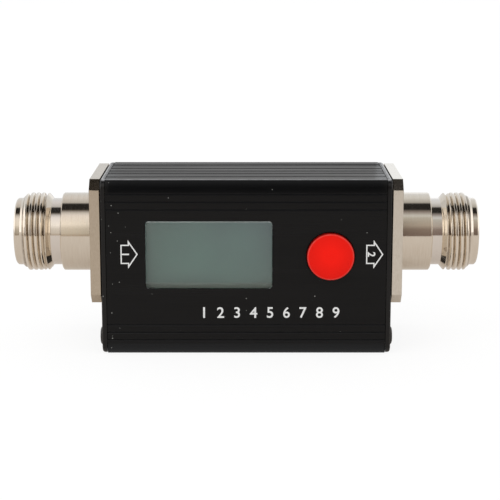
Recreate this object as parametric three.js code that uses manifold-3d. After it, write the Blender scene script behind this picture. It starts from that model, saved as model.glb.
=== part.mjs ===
// A pocket meter for radio power and standing wave ratio.
// An aluminium case of two extruded half shells is closed by a plate at each end, and each plate
// carries a coaxial jack on a square flange. The front has a display window and one push button.
// Millimetres. The front faces -Y, the jacks lie along X, and the meter stands on z = 0.

import * as THREE from "three";
import { mergeVertices } from "three/addons/utils/BufferGeometryUtils.js";
import Module from "manifold-3d";

const wasm = await Module();
wasm.setup();

// Case
const shellLength = 55.4;
const caseDepth = 25.4;
const caseHeight = 35.2;
const wallThickness = 1.5;
const caseCornerRadius = 1.2;
const cavityCornerRadius = 0.6;

// Shallow grooves along the extrusion
const grooveWidth = 0.42;
const grooveDepth = 0.18;
const faceGrooveInset = 2.85;
const faceGroovePitch = 1.55;
const faceGrooveCount = 3;
const edgeGrooveSpread = 4.2;
const edgeGroovesEachSide = 2;

// Joint between the two half shells
const seamOffset = -0.6;
const seamGap = 0.14;
const lapLength = 1.2;
const lapThickness = 0.6;

// Fits
const slipGap = 0.15;
const seatGap = 0.1;
const screwGap = 0.1;
const wireGap = 0.3;
const cutOverrun = 1;

// Round channels that the end screws cut their thread into, and ribs that hold the boards
const channelRadius = 2.2;
const ribThickness = 0.8;
const ribHeight = 1.2;

// End plates and their lower screws
const plateThickness = 1;
const plateCornerRadius = 1.8;
const plateEdgeChamfer = 0.3;
const plateScrewInset = 3.1;
const plateScrewRadius = 0.95;
const plateScrewLength = 7;
const plateScrewHeadRadius = 1.8;
const plateScrewHeadHeight = 0.65;
const domeShares = [
  [1, 0],
  [1, 0.4],
  [0.82, 0.8],
  [0.45, 1],
  [0, 1],
];

// Jacks: flange, barrel and the screws that hold the flange
const flangeBottom = 10.1;
const flangeTopInset = 0.1;
const flangeSideInset = 0.2;
const flangeThickness = 2;
const flangeCornerCut = 2;
const flangeHoleInset = 3.4;
const flangeScrewRadius = 1.2;
const flangeScrewHeadRadius = 2.3;
const flangeScrewHeadHeight = 1.15;
const flangeScrewUpperLength = 9;
const flangeScrewLowerLength = 4;
const recessReachShare = 0.58;
const recessWidthShare = 0.2;
const recessDepth = 0.5;
const shoulderRadius = 7.93;
const shoulderLength = 6.45;
const neckRadius = 6.8;
const neckLength = 2.05;
const threadRadius = 7.94;
const threadPitch = 1.058;
const threadDepth = 0.6;
const threadCrests = 5;
const threadLeadIn = 0.95;
const threadRelief = 0.55;
const rimRadius = 6.82;
const rimLength = 1.7;
const rimChamfer = 0.35;
const barrelEdgeChamfer = 0.2;
const boreRadius = 4.1;
const boreDepth = 9.1;
const boreChamfer = 0.4;
const spigotRadius = 4.5;
const spigotReach = 0.9;

// Inside each jack: the insulator and the slotted socket contact
const insulatorRadius = 3.5;
const insulatorReach = 0.6;
const contactRadius = 1.52;
const contactHoleRadius = 0.83;
const contactHoleDepth = 3.6;
const contactSetback = 4.9;
const contactTipChamfer = 0.25;
const contactSlotWidth = 0.3;
const contactSlotLength = 2.9;
const contactStemRadius = 1;
const contactTailRadius = 0.7;
const contactTailReach = 4.2;

// Display window and the display behind it, which lies under the upper channels
const windowX = -7.4;
const windowBottom = 13.4;
const windowWidth = 25.1;
const windowCornerRadius = 0.7;
const windowRecess = 0.12;
const windowEdgeChamfer = 0.25;
const windowBackMargin = 1.2;
const windowBackThickness = 0.6;
const displayGapAbove = 0.5;
const displayMarginX = 1.95;
const displayMarginZ = 2;
const displayApertureMargin = 0.5;
const displayFrameWall = 0.4;
const displayGlassThickness = 1.8;

// Push button and its switch
const buttonX = 16.65;
const buttonDrop = 0.2;
const buttonRadius = 4.7;
const buttonProud = 1.2;
const buttonCrown = 0.12;
const buttonEdgeRadius = 0.35;
const buttonGap = 0.2;
const buttonTravel = 0.4;
const buttonLipWidth = 0.9;
const buttonLipThickness = 0.8;
const switchWidth = 6;
const switchCornerCut = 0.6;
const plungerRadius = 1.7;
const plungerShown = 0.9;
const plungerHeld = 0.6;
const plungerEndGap = 0.2;

// Boards and what is on them
const boardThickness = 1.6;
const mainBoardSetback = 6.3;
const boardEndGap = 1.8;
const lineThickness = 0.1;
const lineWidth = 2.6;
const lineEndGap = 2.2;
const senseLineWidth = 1;
const senseLineLength = 30;
const senseLineSpread = 3;
const shieldLength = 42;
const shieldGapAbove = 2.5;
const shieldDepth = 3.1;
const shieldWall = 0.3;
const shieldCornerRadius = 0.8;
const shieldNotchDepth = 0.5;
const processorWidth = 7;
const processorThickness = 1.4;
const processorX = -12;
const chargerLength = 4.9;
const chargerWidth = 3.9;
const chargerThickness = 1.4;
const chargerGap = 0.5;
const chipGapBelowShield = 0.3;
const chipEdgeCut = 0.3;
const headerPinPitch = 2.54;
const headerPinCount = 6;
const headerPinWidth = 0.64;
const headerBodyDepth = 2.5;
const headerHeightAbove = 7.6;

// Charging socket, on the right end below the flange
const socketWidth = 7.5;
const socketHeight = 2.6;
const socketLength = 5.6;
const socketWall = 0.3;
const socketCornerCut = 0.7;
const socketCavityDepth = 4.6;
const socketTongueWidth = 4.4;
const socketTongueThickness = 0.5;
const socketTongueLength = 3.6;
const socketHeightAbove = 5.6;
const socketFaceSetback = 0.2;

// Battery, its foam pad and its two leads
const batteryLength = 35;
const batteryGapBelow = 1.9;
const batteryGapAbove = 2.3;
const batteryThickness = 5;
const batteryEdgeRadius = 1.6;
const padThickness = 1;
const padMargin = 2.5;
const leadRadius = 0.5;
const leadSpread = 3;
const leadRun = 4;
const leadSteps = 12;

// Facets round one turn
const barrelFacets = 36;
const contactFacets = 20;
const screwFacets = 16;
const buttonFacets = 32;
const channelFacets = 16;
const leadFacets = 6;
const cornerSteps = 4;

const frontY = -caseDepth / 2;
const rearY = caseDepth / 2;
const frontWallInnerY = frontY + wallThickness;
const rearWallInnerY = rearY - wallThickness;
const midHeight = caseHeight / 2;
const mainBoardFrontY = frontY + mainBoardSetback;
const mainBoardBackY = mainBoardFrontY + boardThickness;
const couplerBoardFrontY = contactTailRadius + screwGap + lineThickness;
const couplerBoardBackY = couplerBoardFrontY + boardThickness;
const displayFrontY = frontWallInnerY + seatGap + windowBackThickness + seatGap;
const displayGlassFrontY = displayFrontY + displayFrameWall + seatGap;
const displayGlassBackY = displayGlassFrontY + displayGlassThickness;
const buttonBackY = frontWallInnerY + seatGap + buttonLipThickness;
const switchFrontY = buttonBackY + plungerShown;
const batteryBackY = rearWallInnerY - padThickness;
const batteryMiddleY = batteryBackY - batteryThickness / 2;
const boardLength = shellLength - 2 * boardEndGap;
const chargerX = batteryLength / 2 + chargerGap + chargerWidth / 2;
const boardHeight = caseHeight - 2 * wallThickness - 2 * slipGap;

// Heights: the flange fills the end above its lower edge, and its upper screws set the channels
const flangeWidth = caseDepth - 2 * flangeSideInset;
const flangeHeight = caseHeight - flangeTopInset - flangeBottom;
const jackHeight = flangeBottom + flangeHeight / 2;
const flangeHoleY = flangeWidth / 2 - flangeHoleInset;
const flangeHoleZ = flangeHeight / 2 - flangeHoleInset;
const upperChannelBottom = jackHeight + flangeHoleZ - channelRadius;
const lowerChannelTop = plateScrewInset + channelRadius;
const windowTop = upperChannelBottom - displayGapAbove - displayMarginZ;
const windowHeight = windowTop - windowBottom;
const windowMiddle = windowBottom + windowHeight / 2;
const buttonMiddle = windowMiddle - buttonDrop;
const batteryBottom = lowerChannelTop + batteryGapBelow;
const batteryHeight = upperChannelBottom - batteryGapAbove - batteryBottom;
const batteryMiddle = batteryBottom + batteryHeight / 2;
const shieldTop = caseHeight - wallThickness - ribHeight - shieldGapAbove;
const shieldHeight = 2 * (shieldTop - jackHeight);
const chipTop = jackHeight - shieldHeight / 2 - chipGapBelowShield;

// Distances out along X from a shell's end face
const plateInnerX = seatGap;
const plateOuterX = plateInnerX + plateThickness;
const flangeInnerX = plateOuterX + seatGap;
const flangeOuterX = flangeInnerX + flangeThickness;
const shoulderEndX = flangeOuterX + shoulderLength;
const neckEndX = shoulderEndX + neckLength;
const threadStartX = neckEndX + threadLeadIn;
const threadEndX = threadStartX + (threadCrests - 1) * threadPitch;
const rimStartX = threadEndX + threadRelief;
const tipX = rimStartX + rimLength;
const boreFloorX = tipX - boreDepth;
const spigotEndX = plateInnerX - spigotReach;
const insulatorEndX = spigotEndX - insulatorReach;
const contactTipX = tipX - contactSetback;
const contactTailEndX = -contactTailReach;

// The charging socket's mouth, from the middle of the meter
const socketMouthX = shellLength / 2 + plateOuterX - socketFaceSetback;

// Where the lower plate screws and the flange screws lie: a pair at each height, as [y, z]
function pairOfSpots(y, z) {
  return [
    [-y, z],
    [y, z],
  ];
}

const plateScrewSpots = pairOfSpots(caseDepth / 2 - plateScrewInset, plateScrewInset);
const flangeUpperSpots = pairOfSpots(flangeHoleY, jackHeight + flangeHoleZ);
const flangeLowerSpots = pairOfSpots(flangeHoleY, jackHeight - flangeHoleZ);

function finish(color, roughness, metalness, opacity = 1) {
  const transparent = opacity < 1;
  const flatShading = true;
  return new THREE.MeshStandardMaterial({ color, roughness, metalness, opacity, transparent, flatShading });
}

const blackAnodised = finish(0x1f1f20, 0.5, 0.6);
const blackPlate = finish(0x232324, 0.45, 0.6);
const nickel = finish(0xc9c2b6, 0.22, 1);
const ptfe = finish(0xf2f0ea, 0.5, 0);
const gold = finish(0xd8b052, 0.25, 1);
const blackSteel = finish(0x2b2b2c, 0.4, 0.8);
const clearAcrylic = finish(0xdfe8e6, 0.05, 0, 0.25);
const displayGlass = finish(0x67766f, 0.25, 0);
const whitePlastic = finish(0xe9e9e4, 0.5, 0);
const blackPlastic = finish(0x1c1c1d, 0.5, 0);
const redPlastic = finish(0xe6281c, 0.35, 0);
const tinnedSteel = finish(0xb9bcbd, 0.35, 0.9);
const greenBoard = finish(0x1f5b3a, 0.5, 0);
const copper = finish(0xb87345, 0.35, 1);
const silverPouch = finish(0xa7a9ab, 0.4, 0.5);
const foam = finish(0x3a3a3c, 0.95, 0);
const redWire = finish(0xb3261e, 0.5, 0);
const blackWire = finish(0x18181a, 0.5, 0);

// A closed three.js geometry as a solid that can be joined and cut
function solid(geometry) {
  const bare = geometry.clone();
  bare.deleteAttribute("normal");
  bare.deleteAttribute("uv");
  const welded = mergeVertices(bare);
  return new wasm.Manifold(
    new wasm.Mesh({
      numProp: 3,
      vertProperties: new Float32Array(welded.attributes.position.array),
      triVerts: new Uint32Array(welded.index.array),
    }),
  );
}

function geometryOf(shape) {
  const mesh = shape.getMesh();
  const geometry = new THREE.BufferGeometry();
  geometry.setAttribute("position", new THREE.BufferAttribute(mesh.vertProperties, 3));
  geometry.setIndex(new THREE.BufferAttribute(mesh.triVerts, 1));
  geometry.computeVertexNormals();
  return geometry;
}

function piece(name, shape, material) {
  const geometry = shape.isBufferGeometry ? shape : geometryOf(shape);
  const mesh = new THREE.Mesh(geometry, material);
  mesh.name = name;
  return mesh;
}

// A block between two corners
function block([x0, y0, z0], [x1, y1, z1]) {
  const geometry = new THREE.BoxGeometry(x1 - x0, y1 - y0, z1 - z0);
  return solid(geometry.translate((x0 + x1) / 2, (y0 + y1) / 2, (z0 + z1) / 2));
}

// The directions that an outline's width, its height and its extrusion take
const outlineAlongX = new THREE.Matrix4().makeBasis(
  new THREE.Vector3(0, 1, 0),
  new THREE.Vector3(0, 0, 1),
  new THREE.Vector3(1, 0, 0),
);
const outlineAlongY = new THREE.Matrix4().makeBasis(
  new THREE.Vector3(1, 0, 0),
  new THREE.Vector3(0, 0, 1),
  new THREE.Vector3(0, -1, 0),
);

// An outline extruded over a length, both end edges chamfered where a chamfer is given
function extruded(outline, length, chamfer) {
  return new THREE.ExtrudeGeometry(outline, {
    depth: length - 2 * chamfer,
    bevelEnabled: chamfer > 0,
    bevelSize: chamfer,
    bevelOffset: -chamfer,
    bevelThickness: chamfer,
    bevelSegments: 1,
    curveSegments: cornerSteps,
  });
}

// An outline in Y and Z, extruded along X between two places
function alongX(outline, x0, x1, chamfer = 0) {
  return extruded(outline, x1 - x0, chamfer).applyMatrix4(outlineAlongX).translate(x0 + chamfer, 0, 0);
}

// An outline in X and Z, extruded along Y between its front and its back
function alongY(outline, front, back, chamfer = 0) {
  const geometry = extruded(outline, back - front, chamfer).applyMatrix4(outlineAlongY);
  return geometry.translate(0, back - chamfer, 0);
}

// A shape turned on a lathe: the profile is [radius, distance along X]
function turned(profile, facets) {
  const points = profile.map(([radius, along]) => new THREE.Vector2(radius, along));
  return new THREE.LatheGeometry(points, facets).rotateZ(-Math.PI / 2);
}

function roundBar(radius, x0, x1, [y, z], facets) {
  const geometry = new THREE.CylinderGeometry(radius, radius, x1 - x0, facets).rotateZ(Math.PI / 2);
  return solid(geometry.translate((x0 + x1) / 2, y, z));
}

function roundedRectangle(width, height, radius, centreX = 0, centreY = 0) {
  const outline = new THREE.Shape();
  for (let corner = 0; corner < 4; corner += 1) {
    const start = (corner * Math.PI) / 2;
    const signX = corner === 0 || corner === 3 ? 1 : -1;
    const signY = corner < 2 ? 1 : -1;
    const arcX = centreX + signX * (width / 2 - radius);
    const arcY = centreY + signY * (height / 2 - radius);
    outline.absarc(arcX, arcY, radius, start, start + Math.PI / 2, false);
  }
  outline.closePath();
  return outline;
}

function chamferedRectangle(width, height, cut, centreX = 0, centreY = 0) {
  const outline = new THREE.Shape();
  const halfWidth = width / 2;
  const halfHeight = height / 2;
  outline.moveTo(centreX - halfWidth + cut, centreY - halfHeight);
  outline.lineTo(centreX + halfWidth - cut, centreY - halfHeight);
  outline.lineTo(centreX + halfWidth, centreY - halfHeight + cut);
  outline.lineTo(centreX + halfWidth, centreY + halfHeight - cut);
  outline.lineTo(centreX + halfWidth - cut, centreY + halfHeight);
  outline.lineTo(centreX - halfWidth + cut, centreY + halfHeight);
  outline.lineTo(centreX - halfWidth, centreY + halfHeight - cut);
  outline.lineTo(centreX - halfWidth, centreY - halfHeight + cut);
  outline.closePath();
  return outline;
}

// The case's outline in Y and Z, with its V grooves, drawn one side after another
function caseOutline() {
  const faceGrooves = [];
  for (let i = 0; i < faceGrooveCount; i += 1) {
    const fromMiddle = caseHeight / 2 - faceGrooveInset - i * faceGroovePitch;
    faceGrooves.push(-fromMiddle, fromMiddle);
  }
  const edgeGrooves = [];
  for (let i = 1; i <= edgeGroovesEachSide; i += 1) {
    edgeGrooves.push(-i * edgeGrooveSpread, i * edgeGrooveSpread);
  }
  const outline = new THREE.Shape();
  for (let side = 0; side < 4; side += 1) {
    const turn = (side * Math.PI) / 2;
    const along = new THREE.Vector2(Math.round(Math.cos(turn)), Math.round(Math.sin(turn)));
    const inward = new THREE.Vector2(-along.y, along.x);
    const upright = side % 2 === 1;
    const length = upright ? caseHeight : caseDepth;
    const across = upright ? caseDepth : caseHeight;
    const grooves = (upright ? faceGrooves : edgeGrooves).slice().sort((a, b) => a - b);
    const at = (distance, depth) => {
      const point = along.clone().multiplyScalar(distance);
      point.addScaledVector(inward, depth - across / 2);
      point.y += midHeight;
      return point;
    };
    if (side === 0) {
      const first = at(caseCornerRadius - length / 2, 0);
      outline.moveTo(first.x, first.y);
    }
    for (const groove of grooves) {
      const half = grooveWidth / 2;
      for (const mark of [at(groove - half, 0), at(groove, grooveDepth), at(groove + half, 0)]) {
        outline.lineTo(mark.x, mark.y);
      }
    }
    const centre = at(length / 2 - caseCornerRadius, caseCornerRadius);
    outline.absarc(centre.x, centre.y, caseCornerRadius, turn - Math.PI / 2, turn, false);
  }
  outline.closePath();
  return outline;
}

// Both half shells as one tube, with its corner channels, before it is parted
function caseTube() {
  const end = shellLength / 2;
  const cavityDepth = caseDepth - 2 * wallThickness;
  const cavityHeight = caseHeight - 2 * wallThickness;
  const cavity = roundedRectangle(cavityDepth, cavityHeight, cavityCornerRadius, 0, midHeight);
  let tube = solid(alongX(caseOutline(), -end, end));
  tube = tube.subtract(solid(alongX(cavity, -end - cutOverrun, end + cutOverrun)));
  const lowWallZ = wallThickness / 2;
  const channels = [
    ...plateScrewSpots.map((spot) => ({ spot, bore: plateScrewRadius + screwGap, wallZ: lowWallZ })),
    ...flangeUpperSpots.map((spot) => ({
      spot,
      bore: flangeScrewRadius + screwGap,
      wallZ: caseHeight - lowWallZ,
    })),
  ];
  for (const { spot, wallZ } of channels) {
    const [y, z] = spot;
    const wallY = Math.sign(y) * (caseDepth / 2 - wallThickness / 2);
    const low = [-end, Math.min(y, wallY), Math.min(z, wallZ)];
    const high = [end, Math.max(y, wallY), Math.max(z, wallZ)];
    tube = tube.add(roundBar(channelRadius, -end, end, spot, channelFacets));
    tube = tube.add(block(low, high));
  }
  for (const { spot, bore } of channels) {
    tube = tube.subtract(roundBar(bore, -end - cutOverrun, end + cutOverrun, spot, channelFacets));
  }
  return tube;
}

// The ribs on the top and bottom walls that a board slides between
function boardRibs(boardFrontY, boardBackY) {
  const end = shellLength / 2;
  const ribs = [];
  for (const y of [boardFrontY - slipGap - ribThickness, boardBackY + slipGap]) {
    const lowZ = wallThickness / 2;
    const lowRibTop = wallThickness + ribHeight;
    ribs.push(block([-end, y, lowZ], [end, y + ribThickness, lowRibTop]));
    ribs.push(block([-end, y, caseHeight - lowRibTop], [end, y + ribThickness, caseHeight - lowZ]));
  }
  return ribs;
}

// The lap at the joint: a lip on the rear shell lies inside the front shell's edge
function lap(gap, overrun) {
  const end = shellLength / 2 + overrun;
  const front = seamOffset - lapLength - gap;
  const back = seamOffset + seamGap / 2 + (overrun ? 0 : lapLength);
  const low = wallThickness - lapThickness - gap;
  const high = wallThickness + overrun;
  return [
    block([-end, front, low], [end, back, high]),
    block([-end, front, caseHeight - high], [end, back, caseHeight - low]),
  ];
}

function windowOutline(margin, radius) {
  const width = windowWidth + 2 * margin;
  const height = windowHeight + 2 * margin;
  return roundedRectangle(width, height, radius, windowX, windowMiddle);
}

function frontShell(tube) {
  const side = shellLength + cutOverrun;
  const keep = block(
    [-side, frontY - cutOverrun, -cutOverrun],
    [side, seamOffset - seamGap / 2, caseHeight + cutOverrun],
  );
  let shell = tube.intersect(keep);
  for (const rib of boardRibs(mainBoardFrontY, mainBoardBackY)) {
    shell = shell.add(rib);
  }
  for (const cut of lap(slipGap, cutOverrun)) {
    shell = shell.subtract(cut);
  }
  const opening = windowOutline(0, windowCornerRadius);
  shell = shell.subtract(solid(alongY(opening, frontY - cutOverrun, frontWallInnerY + cutOverrun)));
  const hole = new THREE.CylinderGeometry(
    buttonRadius + buttonGap,
    buttonRadius + buttonGap,
    wallThickness + 2 * cutOverrun,
    buttonFacets,
  );
  hole.translate(buttonX, frontY + wallThickness / 2, buttonMiddle);
  return shell.subtract(solid(hole));
}

function rearShell(tube) {
  const side = shellLength + cutOverrun;
  const keep = block(
    [-side, seamOffset + seamGap / 2, -cutOverrun],
    [side, rearY + cutOverrun, caseHeight + cutOverrun],
  );
  let shell = tube.intersect(keep);
  for (const added of [...boardRibs(couplerBoardFrontY, couplerBoardBackY), ...lap(0, 0)]) {
    shell = shell.add(added);
  }
  const pocketStartX = socketMouthX - socketLength - wireGap;
  return shell.subtract(solid(alongX(socketOutline(wireGap), pocketStartX, shellLength)));
}

// An end plate, chamfered round its outer face only
function endPlate(withSocket) {
  const outline = roundedRectangle(caseDepth, caseHeight, plateCornerRadius, 0, midHeight);
  const chamfered = alongX(outline, plateInnerX, plateOuterX, plateEdgeChamfer);
  const innerHalf = alongX(outline, plateInnerX, plateInnerX + plateThickness / 2);
  const low = plateInnerX - cutOverrun;
  const high = plateOuterX + cutOverrun;
  let plate = solid(chamfered).add(solid(innerHalf));
  plate = plate.subtract(roundBar(spigotRadius + slipGap, low, high, [0, jackHeight], barrelFacets));
  for (const spot of plateScrewSpots) {
    plate = plate.subtract(roundBar(plateScrewRadius + screwGap, low, high, spot, screwFacets));
  }
  for (const spot of [...flangeUpperSpots, ...flangeLowerSpots]) {
    plate = plate.subtract(roundBar(flangeScrewRadius + screwGap, low, high, spot, screwFacets));
  }
  if (withSocket) {
    plate = plate.subtract(solid(alongX(socketOutline(wireGap), low, high)));
  }
  return plate;
}

// A jack's body: square flange, threaded barrel, the spigot behind the flange and the bore
function jackBody() {
  const rootRadius = threadRadius - threadDepth;
  const ridges = [];
  for (let crest = 0; crest < threadCrests; crest += 1) {
    const x = threadStartX + crest * threadPitch;
    ridges.push([threadRadius, x]);
    if (crest < threadCrests - 1) {
      ridges.push([rootRadius, x + threadPitch / 2]);
    }
  }
  const flangeMiddleX = (flangeInnerX + flangeOuterX) / 2;
  const barrel = [
    [0, spigotEndX],
    [spigotRadius, spigotEndX],
    [spigotRadius, flangeMiddleX],
    [shoulderRadius, flangeMiddleX],
    [shoulderRadius, shoulderEndX - barrelEdgeChamfer],
    [shoulderRadius - barrelEdgeChamfer, shoulderEndX],
    [neckRadius, shoulderEndX],
    [neckRadius, neckEndX],
    ...ridges,
    [rimRadius, rimStartX],
    [rimRadius, tipX - rimChamfer],
    [rimRadius - rimChamfer, tipX],
    [0, tipX],
  ];
  const insulatorSeatRadius = insulatorRadius + screwGap;
  const bore = [
    [0, spigotEndX - cutOverrun],
    [insulatorSeatRadius, spigotEndX - cutOverrun],
    [insulatorSeatRadius, boreFloorX],
    [boreRadius, boreFloorX],
    [boreRadius, tipX - boreChamfer],
    [boreRadius + boreChamfer, tipX],
    [boreRadius + boreChamfer, tipX + cutOverrun],
    [0, tipX + cutOverrun],
  ];
  const flangeOutline = chamferedRectangle(flangeWidth, flangeHeight, flangeCornerCut);
  const flange = alongX(flangeOutline, flangeInnerX, flangeOuterX);
  let body = solid(turned(barrel, barrelFacets)).add(solid(flange));
  body = body.subtract(solid(turned(bore, barrelFacets)));
  const shaftHole = flangeScrewRadius + screwGap;
  const sinkRadius = flangeScrewHeadRadius + screwGap;
  const sinkDepth = flangeScrewHeadHeight + screwGap;
  const sink = [
    [0, flangeInnerX - cutOverrun],
    [shaftHole, flangeInnerX - cutOverrun],
    [shaftHole, flangeOuterX - sinkDepth],
    [sinkRadius, flangeOuterX],
    [sinkRadius, flangeOuterX + cutOverrun],
    [0, flangeOuterX + cutOverrun],
  ];
  for (const sideY of [-1, 1]) {
    for (const sideZ of [-1, 1]) {
      const cutter = turned(sink, screwFacets);
      cutter.translate(0, sideY * flangeHoleY, sideZ * flangeHoleZ);
      body = body.subtract(solid(cutter));
    }
  }
  return body;
}

function insulator() {
  const holeRadius = contactStemRadius + screwGap;
  const low = insulatorEndX - cutOverrun;
  const high = boreFloorX + cutOverrun;
  const bar = roundBar(insulatorRadius, insulatorEndX, boreFloorX, [0, 0], contactFacets);
  return bar.subtract(roundBar(holeRadius, low, high, [0, 0], contactFacets));
}

// The socket contact: four spring fingers in front, a stem, and a thin tail that is soldered
function socketContact() {
  const shoulderX = boreFloorX + screwGap;
  const profile = [
    [0, contactTailEndX],
    [contactTailRadius, contactTailEndX],
    [contactTailRadius, insulatorEndX],
    [contactStemRadius, insulatorEndX],
    [contactStemRadius, shoulderX],
    [contactRadius, shoulderX],
    [contactRadius, contactTipX - contactTipChamfer],
    [contactRadius - contactTipChamfer, contactTipX],
    [contactHoleRadius, contactTipX],
    [contactHoleRadius, contactTipX - contactHoleDepth],
    [0, contactTipX - contactHoleDepth],
  ];
  let contact = solid(turned(profile, contactFacets));
  const slotStart = contactTipX - contactSlotLength;
  const reach = contactRadius + cutOverrun;
  const half = contactSlotWidth / 2;
  contact = contact.subtract(block([slotStart, -reach, -half], [contactTipX + cutOverrun, reach, half]));
  return contact.subtract(block([slotStart, -half, -reach], [contactTipX + cutOverrun, half, reach]));
}

// Takes a cross recess out of a screw's head, whose face lies at faceX
function withCrossRecess(screw, headRadius, faceX) {
  const reach = headRadius * recessReachShare;
  const half = headRadius * recessWidthShare;
  const low = faceX - recessDepth;
  const high = faceX + cutOverrun;
  const cut = screw.subtract(block([low, -reach, -half], [high, reach, half]));
  return cut.subtract(block([low, -half, -reach], [high, half, reach]));
}

function flangeScrew(length) {
  const faceX = flangeOuterX - screwGap / 2;
  const profile = [
    [0, faceX - length],
    [flangeScrewRadius, faceX - length],
    [flangeScrewRadius, faceX - flangeScrewHeadHeight],
    [flangeScrewHeadRadius, faceX],
    [0, faceX],
  ];
  return withCrossRecess(solid(turned(profile, screwFacets)), flangeScrewHeadRadius, faceX);
}

function plateScrew() {
  const seatX = plateOuterX + screwGap / 2;
  const faceX = seatX + plateScrewHeadHeight;
  const profile = [
    [0, seatX - plateScrewLength],
    [plateScrewRadius, seatX - plateScrewLength],
    [plateScrewRadius, seatX],
    ...domeShares.map(([wide, high]) => [wide * plateScrewHeadRadius, seatX + high * plateScrewHeadHeight]),
  ];
  return withCrossRecess(solid(turned(profile, screwFacets)), plateScrewHeadRadius, faceX);
}

// One end of the meter, built from the shell's end face outwards along +X
function endAssembly(side, withSocket) {
  const end = new THREE.Group();
  end.add(piece(`${side}_end_plate`, endPlate(withSocket), blackPlate));
  const body = piece(`${side}_jack_body`, jackBody(), nickel);
  const insulating = piece(`${side}_jack_insulator`, insulator(), ptfe);
  const contact = piece(`${side}_jack_contact`, socketContact(), gold);
  for (const part of [body, insulating, contact]) {
    part.position.z = jackHeight;
    end.add(part);
  }
  const screws = [
    ...flangeUpperSpots.map((spot) => ["flange_screw_upper", spot, flangeScrew(flangeScrewUpperLength)]),
    ...flangeLowerSpots.map((spot) => ["flange_screw_lower", spot, flangeScrew(flangeScrewLowerLength)]),
    ...plateScrewSpots.map((spot) => ["plate_screw", spot, plateScrew()]),
  ];
  screws.forEach(([kind, [y, z], shape], index) => {
    const material = kind === "plate_screw" ? blackSteel : nickel;
    const screw = piece(`${side}_${kind}_${(index % 2) + 1}`, shape, material);
    screw.position.set(0, y, z);
    end.add(screw);
  });
  return end;
}

// The clear window: a plug that fills the opening, on a wider plate glued behind the wall
function displayWindow() {
  const plug = windowOutline(-slipGap, windowCornerRadius - slipGap);
  const back = windowOutline(windowBackMargin, windowCornerRadius + windowBackMargin);
  const backFrontY = frontWallInnerY + seatGap;
  const backRearY = backFrontY + windowBackThickness;
  const pane = solid(alongY(plug, frontY + windowRecess, backRearY - seatGap, windowEdgeChamfer));
  return pane.add(solid(alongY(back, backFrontY, backRearY)));
}

// A block as wide and high as the display, less a margin all round
function displayBlock(margin, fromY, toY) {
  const halfWidth = windowWidth / 2 + displayMarginX - margin;
  const halfHeight = windowHeight / 2 + displayMarginZ - margin;
  return block(
    [windowX - halfWidth, fromY, windowMiddle - halfHeight],
    [windowX + halfWidth, toY, windowMiddle + halfHeight],
  );
}

function displayFrame() {
  const insideY = displayFrontY + displayFrameWall;
  const inside = displayBlock(displayFrameWall, insideY, mainBoardFrontY + cutOverrun);
  const aperture = windowOutline(displayApertureMargin, windowCornerRadius);
  return displayBlock(0, displayFrontY, mainBoardFrontY)
    .subtract(inside)
    .subtract(solid(alongY(aperture, displayFrontY - cutOverrun, mainBoardFrontY)));
}

// The button's cap, turned about an axis that runs from front to back
function buttonCap() {
  const faceY = frontY - buttonProud;
  const rimY = faceY + buttonCrown;
  const lipFrontY = frontWallInnerY + seatGap;
  const profile = [[0, faceY], [buttonRadius / 2, faceY + buttonCrown / 4]];
  for (let step = 0; step <= cornerSteps; step += 1) {
    const angle = (step / cornerSteps) * (Math.PI / 2);
    const radius = buttonRadius - buttonEdgeRadius * (1 - Math.sin(angle));
    profile.push([radius, rimY + buttonEdgeRadius * (1 - Math.cos(angle))]);
  }
  profile.push([buttonRadius, lipFrontY]);
  profile.push([buttonRadius + buttonLipWidth, lipFrontY]);
  profile.push([buttonRadius + buttonLipWidth, buttonBackY]);
  profile.push([0, buttonBackY]);
  return turnedAboutY(profile, buttonFacets);
}

// A shape turned about Y at the button's centre: the profile is [radius, y]
function turnedAboutY(profile, facets) {
  const points = profile.map(([radius, y]) => new THREE.Vector2(radius, y));
  return new THREE.LatheGeometry(points, facets).translate(buttonX, 0, buttonMiddle);
}

function switchBody() {
  const outline = chamferedRectangle(switchWidth, switchWidth, switchCornerCut, buttonX, buttonMiddle);
  const pocketFloorY = switchFrontY + plungerHeld + buttonTravel + plungerEndGap;
  const pocket = turnedAboutY(
    [
      [0, switchFrontY - cutOverrun],
      [plungerRadius + slipGap, switchFrontY - cutOverrun],
      [plungerRadius + slipGap, pocketFloorY],
      [0, pocketFloorY],
    ],
    contactFacets,
  );
  return solid(alongY(outline, switchFrontY, mainBoardFrontY)).subtract(solid(pocket));
}

function switchPlunger() {
  return turnedAboutY(
    [
      [0, buttonBackY],
      [plungerRadius, buttonBackY],
      [plungerRadius, switchFrontY + plungerHeld],
      [0, switchFrontY + plungerHeld],
    ],
    contactFacets,
  );
}

function board(frontFaceY) {
  const half = boardLength / 2;
  const low = midHeight - boardHeight / 2;
  return block([-half, frontFaceY, low], [half, frontFaceY + boardThickness, low + boardHeight]);
}

// A copper strip on the coupler board's front face
function strip(length, width, height) {
  const low = [-length / 2, couplerBoardFrontY - lineThickness, height - width / 2];
  return block(low, [length / 2, couplerBoardFrontY, height + width / 2]);
}

// The tin can over the coupler, open towards the board, notched where the line passes
function shieldCan() {
  const outer = roundedRectangle(shieldLength, shieldHeight, shieldCornerRadius, 0, jackHeight);
  const inner = roundedRectangle(
    shieldLength - 2 * shieldWall,
    shieldHeight - 2 * shieldWall,
    shieldCornerRadius - shieldWall,
    0,
    jackHeight,
  );
  const frontFaceY = couplerBoardFrontY - shieldDepth;
  const notchHalf = lineWidth / 2 + wireGap;
  const notch = block(
    [-shieldLength, couplerBoardFrontY - shieldNotchDepth, jackHeight - notchHalf],
    [shieldLength, couplerBoardFrontY + cutOverrun, jackHeight + notchHalf],
  );
  return solid(alongY(outer, frontFaceY, couplerBoardFrontY))
    .subtract(solid(alongY(inner, frontFaceY + shieldWall, couplerBoardFrontY + cutOverrun)))
    .subtract(notch);
}

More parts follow.
